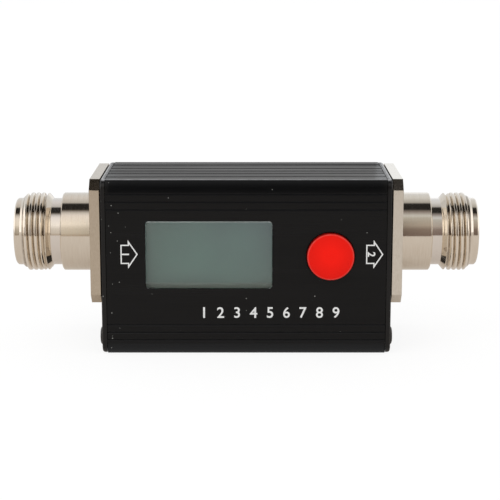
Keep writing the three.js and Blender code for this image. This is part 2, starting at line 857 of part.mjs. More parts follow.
// A chip's package, with its edges cut, on the back face of a board
function chip(centreX, width, height, thickness, boardBackY) {
  const outline = chamferedRectangle(width, height, chipEdgeCut, centreX, chipTop - height / 2);
  return alongY(outline, boardBackY, boardBackY + thickness, chipEdgeCut);
}

// The row of pins that joins both boards, in its plastic carrier
function boardHeader() {
  const carrierLength = headerPinCount * headerPinPitch;
  const middleY = (mainBoardBackY + couplerBoardFrontY) / 2;
  const half = headerBodyDepth / 2;
  let header = block(
    [-carrierLength / 2, middleY - half, headerHeightAbove - half],
    [carrierLength / 2, middleY + half, headerHeightAbove + half],
  );
  for (let pin = 0; pin < headerPinCount; pin += 1) {
    const x = (pin + 1 / 2) * headerPinPitch - carrierLength / 2;
    const wide = headerPinWidth / 2;
    const low = [x - wide, mainBoardBackY, headerHeightAbove - wide];
    header = header.add(block(low, [x + wide, couplerBoardFrontY, headerHeightAbove + wide]));
  }
  return header;
}

// The charging socket's outline in Y and Z, grown by a margin: two of its corners are cut
function socketOutline(margin) {
  const backY = couplerBoardFrontY + margin;
  const faceY = couplerBoardFrontY - socketHeight - margin;
  const low = socketHeightAbove - socketWidth / 2 - margin;
  const high = socketHeightAbove + socketWidth / 2 + margin;
  const outline = new THREE.Shape();
  outline.moveTo(faceY, low + socketCornerCut);
  outline.lineTo(faceY + socketCornerCut, low);
  outline.lineTo(backY, low);
  outline.lineTo(backY, high);
  outline.lineTo(faceY + socketCornerCut, high);
  outline.lineTo(faceY, high - socketCornerCut);
  outline.closePath();
  return outline;
}

function chargeSocket() {
  const floorX = socketMouthX - socketCavityDepth;
  const middleY = couplerBoardFrontY - socketHeight / 2;
  const thin = socketTongueThickness / 2;
  const wide = socketTongueWidth / 2;
  const tongue = block(
    [floorX - socketWall, middleY - thin, socketHeightAbove - wide],
    [floorX + socketTongueLength, middleY + thin, socketHeightAbove + wide],
  );
  return solid(alongX(socketOutline(0), socketMouthX - socketLength, socketMouthX))
    .subtract(solid(alongX(socketOutline(-socketWall), floorX, socketMouthX + cutOverrun)))
    .add(tongue);
}

function battery() {
  const edge = batteryEdgeRadius;
  const centre = [batteryMiddleY, batteryMiddle];
  const outline = roundedRectangle(batteryThickness, batteryHeight, edge, ...centre);
  return alongX(outline, -batteryLength / 2, batteryLength / 2);
}

function batteryPad() {
  const halfLength = batteryLength / 2 - padMargin;
  const halfHeight = batteryHeight / 2 - padMargin;
  return block(
    [-halfLength, batteryBackY, batteryMiddle - halfHeight],
    [halfLength, rearWallInnerY, batteryMiddle + halfHeight],
  );
}

// A lead that leaves the battery's end and bends round to the back of the coupler board
function batteryLead(height) {
  const startX = -batteryLength / 2 - wireGap;
  const endY = couplerBoardBackY + wireGap;
  const route = new THREE.QuadraticBezierCurve3(
    new THREE.Vector3(startX, batteryMiddleY, height),
    new THREE.Vector3(startX - leadRun, batteryMiddleY, height),
    new THREE.Vector3(startX - leadRun, endY, height),
  );
  const section = new THREE.Shape();
  for (let corner = 0; corner < leadFacets; corner += 1) {
    const angle = (corner / leadFacets) * 2 * Math.PI;
    const x = leadRadius * Math.cos(angle);
    const y = leadRadius * Math.sin(angle);
    if (corner === 0) {
      section.moveTo(x, y);
    } else {
      section.lineTo(x, y);
    }
  }
  section.closePath();
  return new THREE.ExtrudeGeometry(section, { extrudePath: route, steps: leadSteps, bevelEnabled: false });
}

const meter = new THREE.Group();
const tube = caseTube();
meter.add(piece("front_shell", frontShell(tube), blackAnodised));
meter.add(piece("rear_shell", rearShell(tube), blackAnodised));

const rightEnd = endAssembly("right", true);
rightEnd.position.x = shellLength / 2;
meter.add(rightEnd);

const leftEnd = endAssembly("left", false);
leftEnd.position.x = -shellLength / 2;
leftEnd.rotation.z = Math.PI;
meter.add(leftEnd);

const frameFill = displayFrameWall + slipGap;
const glassBlock = displayBlock(frameFill, displayGlassFrontY, displayGlassBackY);
const backlightBlock = displayBlock(frameFill, displayGlassBackY + seatGap, mainBoardFrontY - seatGap);
meter.add(piece("display_window", displayWindow(), clearAcrylic));
meter.add(piece("display_frame", displayFrame(), tinnedSteel));
meter.add(piece("display_glass", glassBlock, displayGlass));
meter.add(piece("display_backlight", backlightBlock, whitePlastic));

meter.add(piece("button_cap", buttonCap(), redPlastic));
meter.add(piece("switch_plunger", switchPlunger(), blackPlastic));
meter.add(piece("switch_body", switchBody(), blackPlastic));

const lineLength = shellLength - 2 * lineEndGap;
meter.add(piece("main_board", board(mainBoardFrontY), greenBoard));
meter.add(piece("coupler_board", board(couplerBoardFrontY), greenBoard));
meter.add(piece("through_line", strip(lineLength, lineWidth, jackHeight), copper));
for (const [name, side] of [["forward_sense_line", 1], ["reflected_sense_line", -1]]) {
  const height = jackHeight + side * senseLineSpread;
  meter.add(piece(name, strip(senseLineLength, senseLineWidth, height), copper));
}
meter.add(piece("shield_can", shieldCan(), tinnedSteel));
meter.add(piece("board_header", boardHeader(), blackPlastic));
const processor = chip(processorX, processorWidth, processorWidth, processorThickness, mainBoardBackY);
meter.add(piece("processor", processor, blackPlastic));
const charger = chip(chargerX, chargerWidth, chargerLength, chargerThickness, couplerBoardBackY);
meter.add(piece("charge_controller", charger, blackPlastic));
meter.add(piece("charge_socket", chargeSocket(), tinnedSteel));

meter.add(piece("battery", battery(), silverPouch));
meter.add(piece("battery_pad", batteryPad(), foam));
meter.add(piece("battery_lead_positive", batteryLead(batteryMiddle + leadSpread), redWire));
meter.add(piece("battery_lead_negative", batteryLead(batteryMiddle - leadSpread), blackWire));

// The origin is under the middle of the whole meter, the button's rise in front counted
const part = new THREE.Group();
meter.position.y = buttonProud / 2;
part.add(meter);

export default part;
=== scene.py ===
# %% [markdown]
# # A pocket radio power meter
# The meter is an aluminium box with a threaded coaxial jack at each end, a small display and one
# red button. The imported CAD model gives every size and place. This script dresses it: it models
# the surfaces that show in finer detail, gives each part the finish of its real material, and
# sets up the light and the camera of a plain product photograph.

from math import cos, pi, radians, sin, tau

import bmesh
import bpy
from mathutils import Matrix, Vector


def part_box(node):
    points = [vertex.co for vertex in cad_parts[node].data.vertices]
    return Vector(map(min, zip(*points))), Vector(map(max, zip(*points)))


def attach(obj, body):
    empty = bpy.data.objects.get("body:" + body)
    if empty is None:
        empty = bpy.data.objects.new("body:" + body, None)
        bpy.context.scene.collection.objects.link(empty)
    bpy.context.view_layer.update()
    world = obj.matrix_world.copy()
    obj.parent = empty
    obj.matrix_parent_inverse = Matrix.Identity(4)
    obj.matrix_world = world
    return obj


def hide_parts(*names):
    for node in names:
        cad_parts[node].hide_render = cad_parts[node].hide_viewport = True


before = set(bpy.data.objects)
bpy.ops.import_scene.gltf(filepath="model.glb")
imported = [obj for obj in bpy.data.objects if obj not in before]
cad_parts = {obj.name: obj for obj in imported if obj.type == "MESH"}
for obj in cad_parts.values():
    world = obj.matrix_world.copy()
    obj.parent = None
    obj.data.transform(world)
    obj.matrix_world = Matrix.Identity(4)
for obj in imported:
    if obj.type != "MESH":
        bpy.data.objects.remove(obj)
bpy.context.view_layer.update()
MM = 0.001

# %% [markdown]
# ## Camera
# The photograph was taken from about 0.3 m away, a little from above. The lens and the place come
# from a pinhole camera that was fitted to the edges of the case and of the jacks. A camera that
# stands this close draws the far edge of the top face clearly shorter than the near one, so its
# distance matters as much as its direction.

# %% Place the camera
CAMERA_PLACE = Vector((0.74, -309.6, 82.6)) * MM
LOOKING_DOWN = radians(11.65)
SENSOR_WIDTH, FOCAL_LENGTH = 36, 110.8

lens = bpy.data.cameras.new("camera")
lens.sensor_width = SENSOR_WIDTH
lens.lens = FOCAL_LENGTH
lens.clip_start = 10 * MM
camera = bpy.data.objects.new("camera", lens)
camera.location = CAMERA_PLACE
camera.rotation_euler = (pi / 2 - LOOKING_DOWN, 0, 0)
bpy.context.scene.collection.objects.link(camera)
bpy.context.scene.camera = camera
bpy.context.scene.view_settings.view_transform = "Standard"
print("camera at", [round(value, 4) for value in CAMERA_PLACE])

# %% [markdown]
# ## Tools for shapes
# Every piece is worked in millimetres and turned to metres at the very end, so that the numbers
# read like those on a drawing. Blocks, bars and turned profiles start from bmesh operators. Holes
# and joined forms come from the exact Boolean solver, which keeps a machined part's crisp edges.
# `soften` then rounds what is still sharp, because a real edge is never a line: its small
# rounding is what catches the light.

# %% Basic solids
# Two places nearer to each other than this, in mm, count as one
SAME_PLACE = 0.001


def block(low, high):
    """A cuboid between two corners."""
    low, high = Vector(low), Vector(high)
    solid = bmesh.new()
    bmesh.ops.create_cube(solid, size=1)
    bmesh.ops.scale(solid, vec=high - low, verts=solid.verts)
    bmesh.ops.translate(solid, vec=(low + high) / 2, verts=solid.verts)
    return solid


def edges_along(solid, axis):
    """The edges of a block that run along one axis."""
    return [e for e in solid.edges if abs((e.verts[0].co - e.verts[1].co).normalized()[axis]) > 0.9]


def edges_at(solid, axis, place):
    """The edges that lie wholly at one place on an axis."""
    return [e for e in solid.edges if all(abs(v.co[axis] - place) < SAME_PLACE for v in e.verts)]


def round_edges(solid, edges, radius, segments):
    bmesh.ops.bevel(
        solid, geom=edges, offset=radius, offset_type="OFFSET", segments=segments,
        profile=0.5, affect="EDGES", material=-1, clamp_overlap=True,
    )


def rounded_block(low, high, axis, radius, segments=6):
    """A cuboid whose four edges along one axis are rounded."""
    solid = block(low, high)
    round_edges(solid, edges_along(solid, axis), radius, segments)
    return solid


def turned(profile, steps=96, axis="X", centre=(0, 0, 0)):
    """A full spin of (along, radius) points about an axis through centre."""
    solid = bmesh.new()
    centre = Vector(centre)
    if axis == "X":
        points = [Vector((x, 0, r)) for x, r in profile]
        direction = Vector((1, 0, 0))
    else:
        points = [Vector((r, y, 0)) for y, r in profile]
        direction = Vector((0, 1, 0))
    verts = [solid.verts.new(centre + p) for p in points]
    edges = [solid.edges.new(pair) for pair in zip(verts, verts[1:])]
    bmesh.ops.spin(
        solid, geom=verts + edges, cent=centre, axis=direction, angle=tau, steps=steps,
        use_merge=True, use_duplicate=False,
    )
    bmesh.ops.remove_doubles(solid, verts=solid.verts, dist=SAME_PLACE / 10)
    bmesh.ops.recalc_face_normals(solid, faces=solid.faces)
    return solid


print("basic solids: block, rounded_block, turned")

# %% Joining, cutting and softening
def as_object(solid, name):
    mesh = bpy.data.meshes.new(name)
    solid.to_mesh(mesh)
    solid.free()
    made = bpy.data.objects.new(name, mesh)
    bpy.context.scene.collection.objects.link(made)
    return made


def in_order(solid):
    """The same solid made anew, with its points and faces in an order that never changes."""
    verts = sorted(solid.verts, key=lambda v: v.co[:])
    place = {v: i for i, v in enumerate(verts)}
    loops = []
    for face in solid.faces:
        loop = [place[v] for v in face.verts]
        first = loop.index(min(loop))
        loops.append(loop[first:] + loop[:first])
    fresh = bmesh.new()
    made = [fresh.verts.new(v.co) for v in verts]
    for loop in sorted(loops):
        fresh.faces.new([made[i] for i in loop])
    solid.free()
    return fresh


def combine(solid, tool, operation="DIFFERENCE"):
    """Cuts a tool out of a solid, or joins it, with the exact Boolean solver."""
    kept, used = as_object(solid, "kept"), as_object(tool, "used")
    modifier = kept.modifiers.new("combine", "BOOLEAN")
    modifier.operation = operation
    modifier.solver = "EXACT"
    modifier.object = used
    result = bmesh.new()
    result.from_object(kept, bpy.context.evaluated_depsgraph_get())
    bpy.data.objects.remove(kept)
    bpy.data.objects.remove(used)
    # The solver works on several cores at once, so its order differs from run to run
    return in_order(result)


def soften(solid, radius, angle=35):
    """Rounds every edge where two faces meet more sharply than an angle."""
    bmesh.ops.remove_doubles(solid, verts=solid.verts, dist=SAME_PLACE / 2)
    bmesh.ops.dissolve_limit(
        solid, angle_limit=radians(1), verts=solid.verts, edges=solid.edges,
        use_dissolve_boundaries=False,
    )
    sharp = [e for e in solid.edges if e.is_manifold and e.calc_face_angle() > radians(angle)]
    round_edges(solid, sharp, radius, segments=2)
    return solid


print("shape tools: combine, soften")

# %% Sizes from the CAD model, and finished pieces
CREASE = radians(32)


def box_mm(node):
    """A CAD node's lowest and highest corner, in millimetres."""
    low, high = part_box(node)
    return low / MM, high / MM


def middle_mm(node):
    low, high = box_mm(node)
    return (low + high) / 2


def piece(solid, name, material, body="case", stands_for=(), second=None):
    """Turns a solid into a finished piece of the meter, in metres, that rides on a body."""
    # A turned solid still has its old normals, which would mislead the search for its outside
    solid.normal_update()
    bmesh.ops.recalc_face_normals(solid, faces=solid.faces)
    bmesh.ops.scale(solid, vec=(MM, MM, MM), verts=solid.verts)
    for face in solid.faces:
        face.smooth = True
    made = as_object(solid, name)
    made.data.set_sharp_from_angle(angle=CREASE)
    shading = made.modifiers.new("even shading", "WEIGHTED_NORMAL")
    shading.keep_sharp = True
    shading.weight = 100
    for finish in filter(None, (material, second)):
        made.data.materials.append(finish)
    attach(made, body)
    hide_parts(*stands_for)
    print(name, "has", len(made.data.polygons), "faces")
    return made


print("the jacks' axis lies", round(middle_mm("right_jack_contact").z, 2), "mm above the floor")

# %% [markdown]
# ## Tools for finishes
# Colours are written as on the web and turned to Blender's linear values in one place. Nearly
# every real surface here has a fine grain, from sawing, moulding, plating or weaving. So one
# function makes a finish whose colour, gloss and relief all follow the same noise. The grain's
# size is given in millimetres, and it can be stretched along an axis, as brushing does. Wear, dirt
# and painted light and shade could be painted by hand, but here they follow the shape: `where`
# turns limits of height, radius or slope into a share from 0 to 1, and `layered` lays one colour
# over another by it.

# %% Colours and nodes
def rgba(code):
    """A web colour such as #C9BCAA as linear red, green, blue and alpha."""
    parts = [int(code[i : i + 2], 16) / 255 for i in (1, 3, 5)]
    return (*(p / 12.92 if p <= 0.04045 else ((p + 0.055) / 1.055) ** 2.4 for p in parts), 1)


def add(tree, kind, inputs=(), **settings):
    """Adds a node with its settings. An input takes a number, a web colour or another's output."""
    node = tree.nodes.new("ShaderNode" + kind)
    for name, value in settings.items():
        setattr(node, name, value)
    for name, value in dict(inputs).items():
        if isinstance(value, bpy.types.NodeSocket):
            tree.links.new(value, node.inputs[name])
        else:
            node.inputs[name].default_value = rgba(value) if isinstance(value, str) else value
    return node


print("#808080 is", [round(value, 3) for value in rgba("#808080")])

# %% Places on a surface
def axes(tree, what="Object"):
    """The x, y and z of the shaded point, in metres, or of the way it faces, for "Normal"."""
    return add(tree, "SeparateXYZ", {0: add(tree, "TexCoord").outputs[what]}).outputs


def distance(tree, centre_mm, counted=(1, 1, 1)):
    """How far the shaded point is from a centre along the axes that are counted, in metres."""
    place = add(tree, "TexCoord").outputs["Object"]
    place = add(tree, "Mapping", {"Vector": place, "Scale": counted}).outputs[0]
    ends = {0: place, 1: [value * MM for value in centre_mm]}
    return add(tree, "VectorMath", ends, operation="DISTANCE").outputs["Value"]


def span(value, start_mm, end_mm):
    """A limit for `where` whose start and end are given in millimetres."""
    return value, start_mm * MM, end_mm * MM


def where(tree, *limits):
    """1 where every limit holds and 0 where one fails.

    A limit (value, start, end) is 0 up to its start, 1 from its end on, and even in between, and
    anything else is a share to multiply by.
    """
    share, *others = [
        add(tree, "MapRange", enumerate(limit)).outputs[0] if isinstance(limit, tuple) else limit
        for limit in limits
    ]
    for other in others:
        share = add(tree, "Math", {0: share, 1: other}, operation="MULTIPLY").outputs[0]
    return share


print("places can be told by x, y and z, by slope and by distance")

# %% A grained finish
SLOTS = {held.material.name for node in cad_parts.values() for held in node.material_slots}


def new_material(name, **sockets):
    """An empty finish. Where the CAD model has a slot of the same name, it belongs to that slot."""
    material = bpy.data.materials.new(name)
    material.use_nodes = True
    if name in SLOTS:
        material["slot"] = name
    shader = material.node_tree.nodes["Principled BSDF"]
    for socket, value in sockets.items():
        shader.inputs[socket.replace("_", " ")].default_value = value
    return material, material.node_tree, shader


def grain(tree, size_mm, low=0, high=1, stretch=(1, 1, 1), detail=3):
    """Noise from low to high whose grains have a size in millimetres, drawn out by a stretch."""
    place = add(tree, "TexCoord").outputs["Object"]
    scale = [1 / (size_mm * MM * s) for s in stretch]
    sized = add(tree, "Mapping", {"Vector": place, "Scale": scale}).outputs[0]
    noise = add(tree, "TexNoise", {"Vector": sized, "Scale": 1, "Detail": detail}).outputs[0]
    # Raw noise seldom leaves the range from 0.3 to 0.7
    spread = {"Value": noise, "From Min": 0.3, "From Max": 0.7, "To Min": low, "To Max": high}
    return add(tree, "MapRange", spread).outputs[0]


def layered(tree, colour, *coats, **how):
    """A colour with (share, colour) coats over it, which cover it fully where their share is 1."""
    for share, coat in coats:
        colours = {0: share, 6: colour, 7: coat}
        colour = add(tree, "Mix", colours, data_type="RGBA", **how).outputs[2]
    return colour


def coat_over(tree, *coats, **how):
    """Lays coats over the colour that a finish has so far."""
    base = tree.nodes["Principled BSDF"].inputs["Base Color"]
    tree.links.new(layered(tree, base.links[0].from_socket, *coats, **how), base)


def grained(name, pale, dark, gloss, size_mm, stretch=(1, 1, 1), relief_mm=0.0, **sockets):
    """A finish whose colour, roughness (from gloss[0] to gloss[1]) and relief follow a grain."""
    material, tree, shader = new_material(name, **sockets)
    share = grain(tree, size_mm, stretch=stretch)
    rough = add(tree, "MapRange", {"Value": share, "To Min": gloss[0], "To Max": gloss[1]})
    tree.links.new(layered(tree, dark, (share, pale)), shader.inputs["Base Color"])
    tree.links.new(rough.outputs[0], shader.inputs["Roughness"])
    if relief_mm:
        bump = add(tree, "Bump", {"Height": share, "Distance": relief_mm * MM})
        tree.links.new(bump.outputs[0], shader.inputs["Normal"])
    return material


print("the CAD model has", len(SLOTS), "finishes to match")

# %% [markdown]
# ## Black anodised aluminium
# The case is extruded aluminium that was etched matt, dyed black and sealed. The extrusion leaves
# faint lines along its length, which is X. The dyed oxide is clear glass-like matter over black,
# so it is a dark, non-metallic surface with a soft shine that grows where it is seen at a slant:
# the top looks grey, the front nearly black. The long edges carry a thin grey line that is partly
# wear and partly a painted highlight. The groove walls get fine dust that is painted a touch
# lighter, which also lifts their shade, and a few specks of lint sit on the front. The lines and
# specks are found from the slope of the surface, so they stay on their edges whatever the case's
# size.

# %% Wear, painted light and lint
LINT_CELL, LINT_SIZE = 1.7, 0.09
LINT_SHARE, LINT_SHARE_AT_END = 0.02, 0.42


def levelness(tree):
    """1 where a surface lies level, face up or face down, and 0 where it stands upright."""
    return add(tree, "Math", {0: axes(tree, "Normal")[2]}, operation="ABSOLUTE").outputs[0]


def worn_edges(tree):
    """1 in a thin line where a rounded long edge runs into the top or the bottom, else 0. The line
    is partly wear and partly a painted highlight.
    """
    level = levelness(tree)
    return where(tree, (level, 0.8, 0.97), (level, 0.9995, 0.99), grain(tree, 1.6, 0.6, 1.0))


def groove_walls(tree):
    """1 on the sloping walls of the grooves, and 0 elsewhere."""
    level = levelness(tree)
    return where(tree, (level, 0.2, 0.5), (level, 0.95, 0.8))


def lint(tree):
    """1 on small specks on the front, in some cells of a grid, else 0. Most lie at the left end."""
    x, _, z = axes(tree)
    front = add(tree, "CombineXYZ", {"X": x, "Y": z}).outputs[0]
    grid = {"Vector": front, "Scale": 1 / (LINT_CELL * MM)}
    nearest = add(tree, "TexVoronoi", grid, voronoi_dimensions="2D").outputs
    chance = add(tree, "SeparateColor", {"Color": nearest["Color"]}).outputs
    speck = LINT_SIZE / LINT_CELL
    size = {"Value": chance[1], "To Min": 0.5 * speck, "To Max": 1.2 * speck}
    size = add(tree, "MapRange", size).outputs[0]
    inside = add(tree, "Math", {0: nearest["Distance"], 1: size}, operation="LESS_THAN").outputs[0]
    odds = {0: x, 1: -24 * MM, 2: -26.5 * MM, 3: LINT_SHARE, 4: LINT_SHARE_AT_END}
    odds = add(tree, "MapRange", odds).outputs[0]
    chosen = add(tree, "Math", {0: chance[0], 1: odds}, operation="LESS_THAN").outputs[0]
    return where(tree, inside, chosen, (axes(tree, "Normal")[1], -0.8, -0.95))


print("specks of lint are about", LINT_SIZE, "mm in radius")

# %% Anodised finishes
def anodised(name, pale, dark, gloss, stretch, index):
    material = grained(
        name, pale, dark, gloss, size_mm=0.22, stretch=stretch, relief_mm=0.004, IOR=index
    )
    tree = material.node_tree
    drawn = [1 + 0.75 * (s - 1) for s in stretch]
    sheen = grain(tree, 2.2, *gloss, stretch=drawn, detail=2)
    tree.links.new(sheen, tree.nodes["Principled BSDF"].inputs["Roughness"])
    # A little fine dust stays in the grooves, and its pale colour is also painted light that lifts
    # their shade
    dust_and_painted_light, wear_and_highlight, specks = groove_walls(tree), worn_edges(tree), lint(tree)
    coat_over(tree, (dust_and_painted_light, "#1A1A1B"), (wear_and_highlight, "#B2B2B4"), (specks, "#94948F"))
    return material


black_anodised_shell = anodised(
    "black_anodised_shell", "#101011", "#0C0C0D", (0.24, 0.42), (40, 1, 1), index=1.3
)
# The plates are sheet, punched and tumbled before the dye, and shine more
black_anodised_plate = anodised(
    "black_anodised_plate", "#0D0D0E", "#080809", (0.24, 0.32), (1, 1, 12), index=1.42
)
print("anodised finishes:", black_anodised_shell.name, black_anodised_plate.name)

# %% [markdown]
# ## Nickel and other metals
# The jacks are brass, turned on a lathe and plated with bright nickel, a slightly warm grey
# metal. The lathe leaves rings round X that are finer than a hair. They are drawn here about
# 0.12 mm apart, coarser than life, or they would vanish in the picture. The flange is cast and
# milled before it is plated, so it keeps a fine, dull grain.

# %% Metal finishes
nickel_jack = grained(
    "nickel_jack", "#F0E8DB", "#E8DDCE", (0.06, 0.12), size_mm=0.12, stretch=(1, 30, 30),
    relief_mm=0.0004, Metallic=1.0,
)
nickel_flange = grained(
    "nickel_flange", "#EDE7DD", "#E0D9CD", (0.1, 0.17), size_mm=0.2, stretch=(1, 1, 2.5),
    relief_mm=0.004, Metallic=1.0,
)
# Painted shade: the left flange is coloured a little darker than the right one
tree = nickel_flange.node_tree
left_flange_shade = where(tree, span(axes(tree)[0], 5, -5))
coat_over(tree, (left_flange_shade, "#E2DAD0"), blend_type="MULTIPLY")
nickel_screw = grained(
    "nickel_screw", "#CFC5B8", "#BDB2A4", (0.14, 0.24), size_mm=0.3, relief_mm=0.002, Metallic=1.0
)
# Steel blackened in hot salts: a dark brown-black oxide with an oily shine
black_screw = grained(
    "black_screw", "#2A2A2B", "#1B1B1C", (0.3, 0.42), size_mm=0.35, relief_mm=0.006, IOR=1.5
)
# Gold over nickel on the contact's springs: bright and yellow, with no grain that shows
gold_contact = grained(
    "gold_contact", "#E2BE68", "#D2A94F", (0.16, 0.26), size_mm=0.4, relief_mm=0.001, Metallic=1.0
)
# Sheet steel dipped in tin: a grey, slightly clouded shine
tinned_steel = grained(
    "tinned_steel", "#C3C6C7", "#A7AAAC", (0.24, 0.42), size_mm=0.9, relief_mm=0.003, Metallic=1.0
)
# Etched copper foil with a thin lacquer
copper_strip = grained(
    "copper_strip", "#C98A5A", "#B27445", (0.28, 0.4), size_mm=0.5, stretch=(6, 1, 1),
    relief_mm=0.002, Metallic=1.0,
)
print("metals: nickel, black steel, gold, tin, copper")

# %% [markdown]
# ## Plastics, glass and board
# The button is moulded in red ABS with a fine satin skin. The display is a grey-green liquid
# crystal cell behind a pane of clear acrylic. Inside there are a fibreglass board under green
# lacquer, chips, a foil battery, foam and two wires. A plastic needs little grain. The button gets
# painted light and shade: a brighter middle, a painted highlight on its rounding and painted shade
# on its side, all rings about its axis, so they are told by distance.

# %% Plastic finishes
red_plastic = grained(
    "red_plastic", "#FF1805", "#FC1504", (0.3, 0.38), size_mm=0.25, relief_mm=0.0015, IOR=1.23
)
black_plastic = grained(
    "black_plastic", "#232324", "#181819", (0.42, 0.58), size_mm=0.3, relief_mm=0.004, IOR=1.5
)
# Turned PTFE: waxy, almost pure white
white_ptfe = grained(
    "white_ptfe", "#F4F2EC", "#E6E3DA", (0.38, 0.5), size_mm=0.5, relief_mm=0.002, IOR=1.38
)
# Moulded acrylic that spreads the light behind the display
white_diffuser = grained(
    "white_diffuser", "#F1F2EE", "#E2E4DF", (0.4, 0.55), size_mm=1.2, relief_mm=0.002, IOR=1.49
)
# PVC insulation, smooth from the extruder
red_wire = grained("red_wire", "#C32A22", "#A6211B", (0.35, 0.5), size_mm=0.4, IOR=1.5)
black_wire = grained("black_wire", "#1E1E20", "#141415", (0.35, 0.5), size_mm=0.4, IOR=1.5)
# Open-cell foam: no shine, and a relief of small pits
dark_foam = grained(
    "dark_foam", "#47474A", "#2A2A2C", (0.9, 1.0), size_mm=0.35, relief_mm=0.08, IOR=1.4
)
# Aluminium foil laminated in nylon round the battery: wrinkled and satin
silver_pouch = grained(
    "silver_pouch", "#BCBEC0", "#9B9DA0", (0.3, 0.45), size_mm=2.4, relief_mm=0.03, Metallic=0.8
)
# Solder mask over glass weave: the weave just shows through the green lacquer
green_board = grained(
    "green_board", "#25694A", "#174A31", (0.3, 0.42), size_mm=0.5, stretch=(3, 1, 1),
    relief_mm=0.006, IOR=1.5,
)
# Screen-printed epoxy ink: opaque, matt, with a slightly uneven coat
white_ink = grained(
    "white_ink", "#F2F2F0", "#E2E2E0", (0.5, 0.62), size_mm=0.2, relief_mm=0.002, IOR=1.45
)
print("plastics, foam, foil, board and ink are ready")

# %% Painted light and shade on the button
cap_low, cap_high = box_mm("button_cap")
cap_centre = (cap_low + cap_high) / 2
BUTTON_LIP = 0.9
cap_radius = (cap_high.x - cap_low.x) / 2 - BUTTON_LIP
tree = red_plastic.node_tree

# Painted light and shade: the middle, a little above the centre, keeps the brightest red, and the
# skin round it is painted darker
BRIGHT_MIDDLE_RAISED = 0.3
from_bright_middle = distance(tree, (cap_centre.x, cap_low.y, cap_centre.z + BRIGHT_MIDDLE_RAISED))
painted_shade_off_centre = where(tree, span(from_bright_middle, 1.4, 4.4), 0.9)
# A painted highlight makes the rounding a thin pale line, and painted shade darkens the side beyond
# it
radius = distance(tree, (cap_centre.x, 0, cap_centre.z), counted=(1, 0, 1))
painted_rim_highlight = span(radius, cap_radius - 0.4, cap_radius - 0.24)
painted_rim_highlight = where(tree, painted_rim_highlight, grain(tree, 0.9, 0.3, 0.7))
painted_side_shade = where(tree, span(radius, cap_radius - 0.14, cap_radius - 0.03))
coat_over(tree, (painted_shade_off_centre, "#E81405"), (painted_rim_highlight, "#E2564E"), (painted_side_shade, "#92120B"))
print("the button is", round(cap_high.x - cap_low.x, 2), "mm wide with its lip")

# %% Display and its window
display_low, display_high = box_mm("display_glass")

# A liquid crystal cell that is off: the polariser's grey-green, a little bluer to the top right
# and clouded in the middle
display_glass, tree, shader = new_material("display_glass", Roughness=0.3, IOR=1.5)
x, _, z = axes(tree)
corner = where(
    tree, span(x, display_low.x, display_high.x), span(z, display_low.z, display_high.z)
)
cloud = where(
    tree, corner, 16.0, span(x, display_high.x, display_low.x),
    span(z, display_high.z, display_low.z), grain(tree, 7.0, 0.25, 0.5, detail=1),
)
# Painted light makes the lowest millimetre paler, where the display lies in the wall's shade
LIGHT_LIFT_TOP, LIGHT_LIFT_FULL = 14.3, 13.7
painted_light_low = where(tree, span(z, LIGHT_LIFT_TOP, LIGHT_LIFT_FULL))
tint = layered(tree, "#718F87", (corner, "#708890"), (cloud, "#81ACA0"), (painted_light_low, "#C2D2CC"))
tree.links.new(tint, shader.inputs["Base Color"])

# Cast acrylic with polished faces: nearly all light goes through
clear_window, tree, shader = new_material(
    "clear_window", Base_Color=rgba("#F4F8F6"), IOR=1.49, Transmission_Weight=1.0
)
tree.links.new(grain(tree, 1.5, 0.01, 0.05), shader.inputs["Roughness"])
# Dust lies on the rounded upper edge and takes some of its clearness, and the pale line this leaves
# is partly a painted highlight
dust_and_painted_light = where(tree, (axes(tree, "Normal")[2], 0.1, 0.4), grain(tree, 0.5, 0.3, 0.5))
clear = add(tree, "Math", {0: 1.0, 1: dust_and_painted_light}, operation="SUBTRACT").outputs[0]
tree.links.new(clear, shader.inputs["Transmission Weight"])
print("display", display_glass.name, "behind", clear_window.name)

# %% [markdown]
# ## Case
# The case is an extrusion sawn to length, parted along its top and bottom into a front and a rear
# half shell that overlap in a small lap joint. One block with rounded edges is the start for
# both. The rounding is taller than it is deep: the front leans back gently before it turns over
# into the top. To get it, the block is squashed, rounded evenly and stretched again. Grooves
# could be cut with the Boolean solver, but that breaks up the long clean faces. So each is made as
# a press tool would: three cuts across the faces, and the middle one pushed in to make a shallow
# V. The joint lies in a V of its own, and the V next to the back edge is the broadest. The blank is
# longer than the case, and is sawn to length at the very end, as a real extrusion is. Every form
# that is joined to it or cut from it ends at a place of its own past the saw's cut, because the
# solver leaves torn edges where the ends of two forms lie in nearly one plane.

# %% Measure the case
case_low, front_high = box_mm("front_shell")
rear_low, case_high = box_mm("rear_shell")
MIDDLE_Y = (case_low.y + case_high.y) / 2
LAP = 0.6
SEAM_Y = rear_low.y + 2 * LAP
OVERRUN = 1.0


def past_ends(share):
    """Where a form that reaches past both ends of the case, by a share of the overrun, ends."""
    return case_low.x - share * OVERRUN, case_high.x + share * OVERRUN


def lengthwise(share, low_y, low_z, high_y, high_z):
    """A block that runs along the whole case and past its ends by a share of the overrun."""
    low_x, high_x = past_ends(share)
    return block((low_x, low_y, low_z), (high_x, high_y, high_z))


print("case", [round(value, 2) for value in case_high - case_low], "mm, joint at y =", SEAM_Y)

# %% The grooved block
CORNER_DEPTH, CORNER_HEIGHT = 1.1, 2.6
# The width and the depth of a groove
FACE_GROOVE, EDGE_GROOVE, BACK_GROOVE = (0.42, 0.18), (0.8, 0.3), (1.4, 0.54)
# How far the grooves of the front and the back lie from the top and from the bottom
FACE_GROOVES = [2.85 + 1.55 * i for i in range(3)]
# How far behind the middle the grooves of the top and the bottom lie
EDGE_GROOVES = {-8.4: EDGE_GROOVE, -4.0: EDGE_GROOVE, 2.4: EDGE_GROOVE, 7.4: BACK_GROOVE}


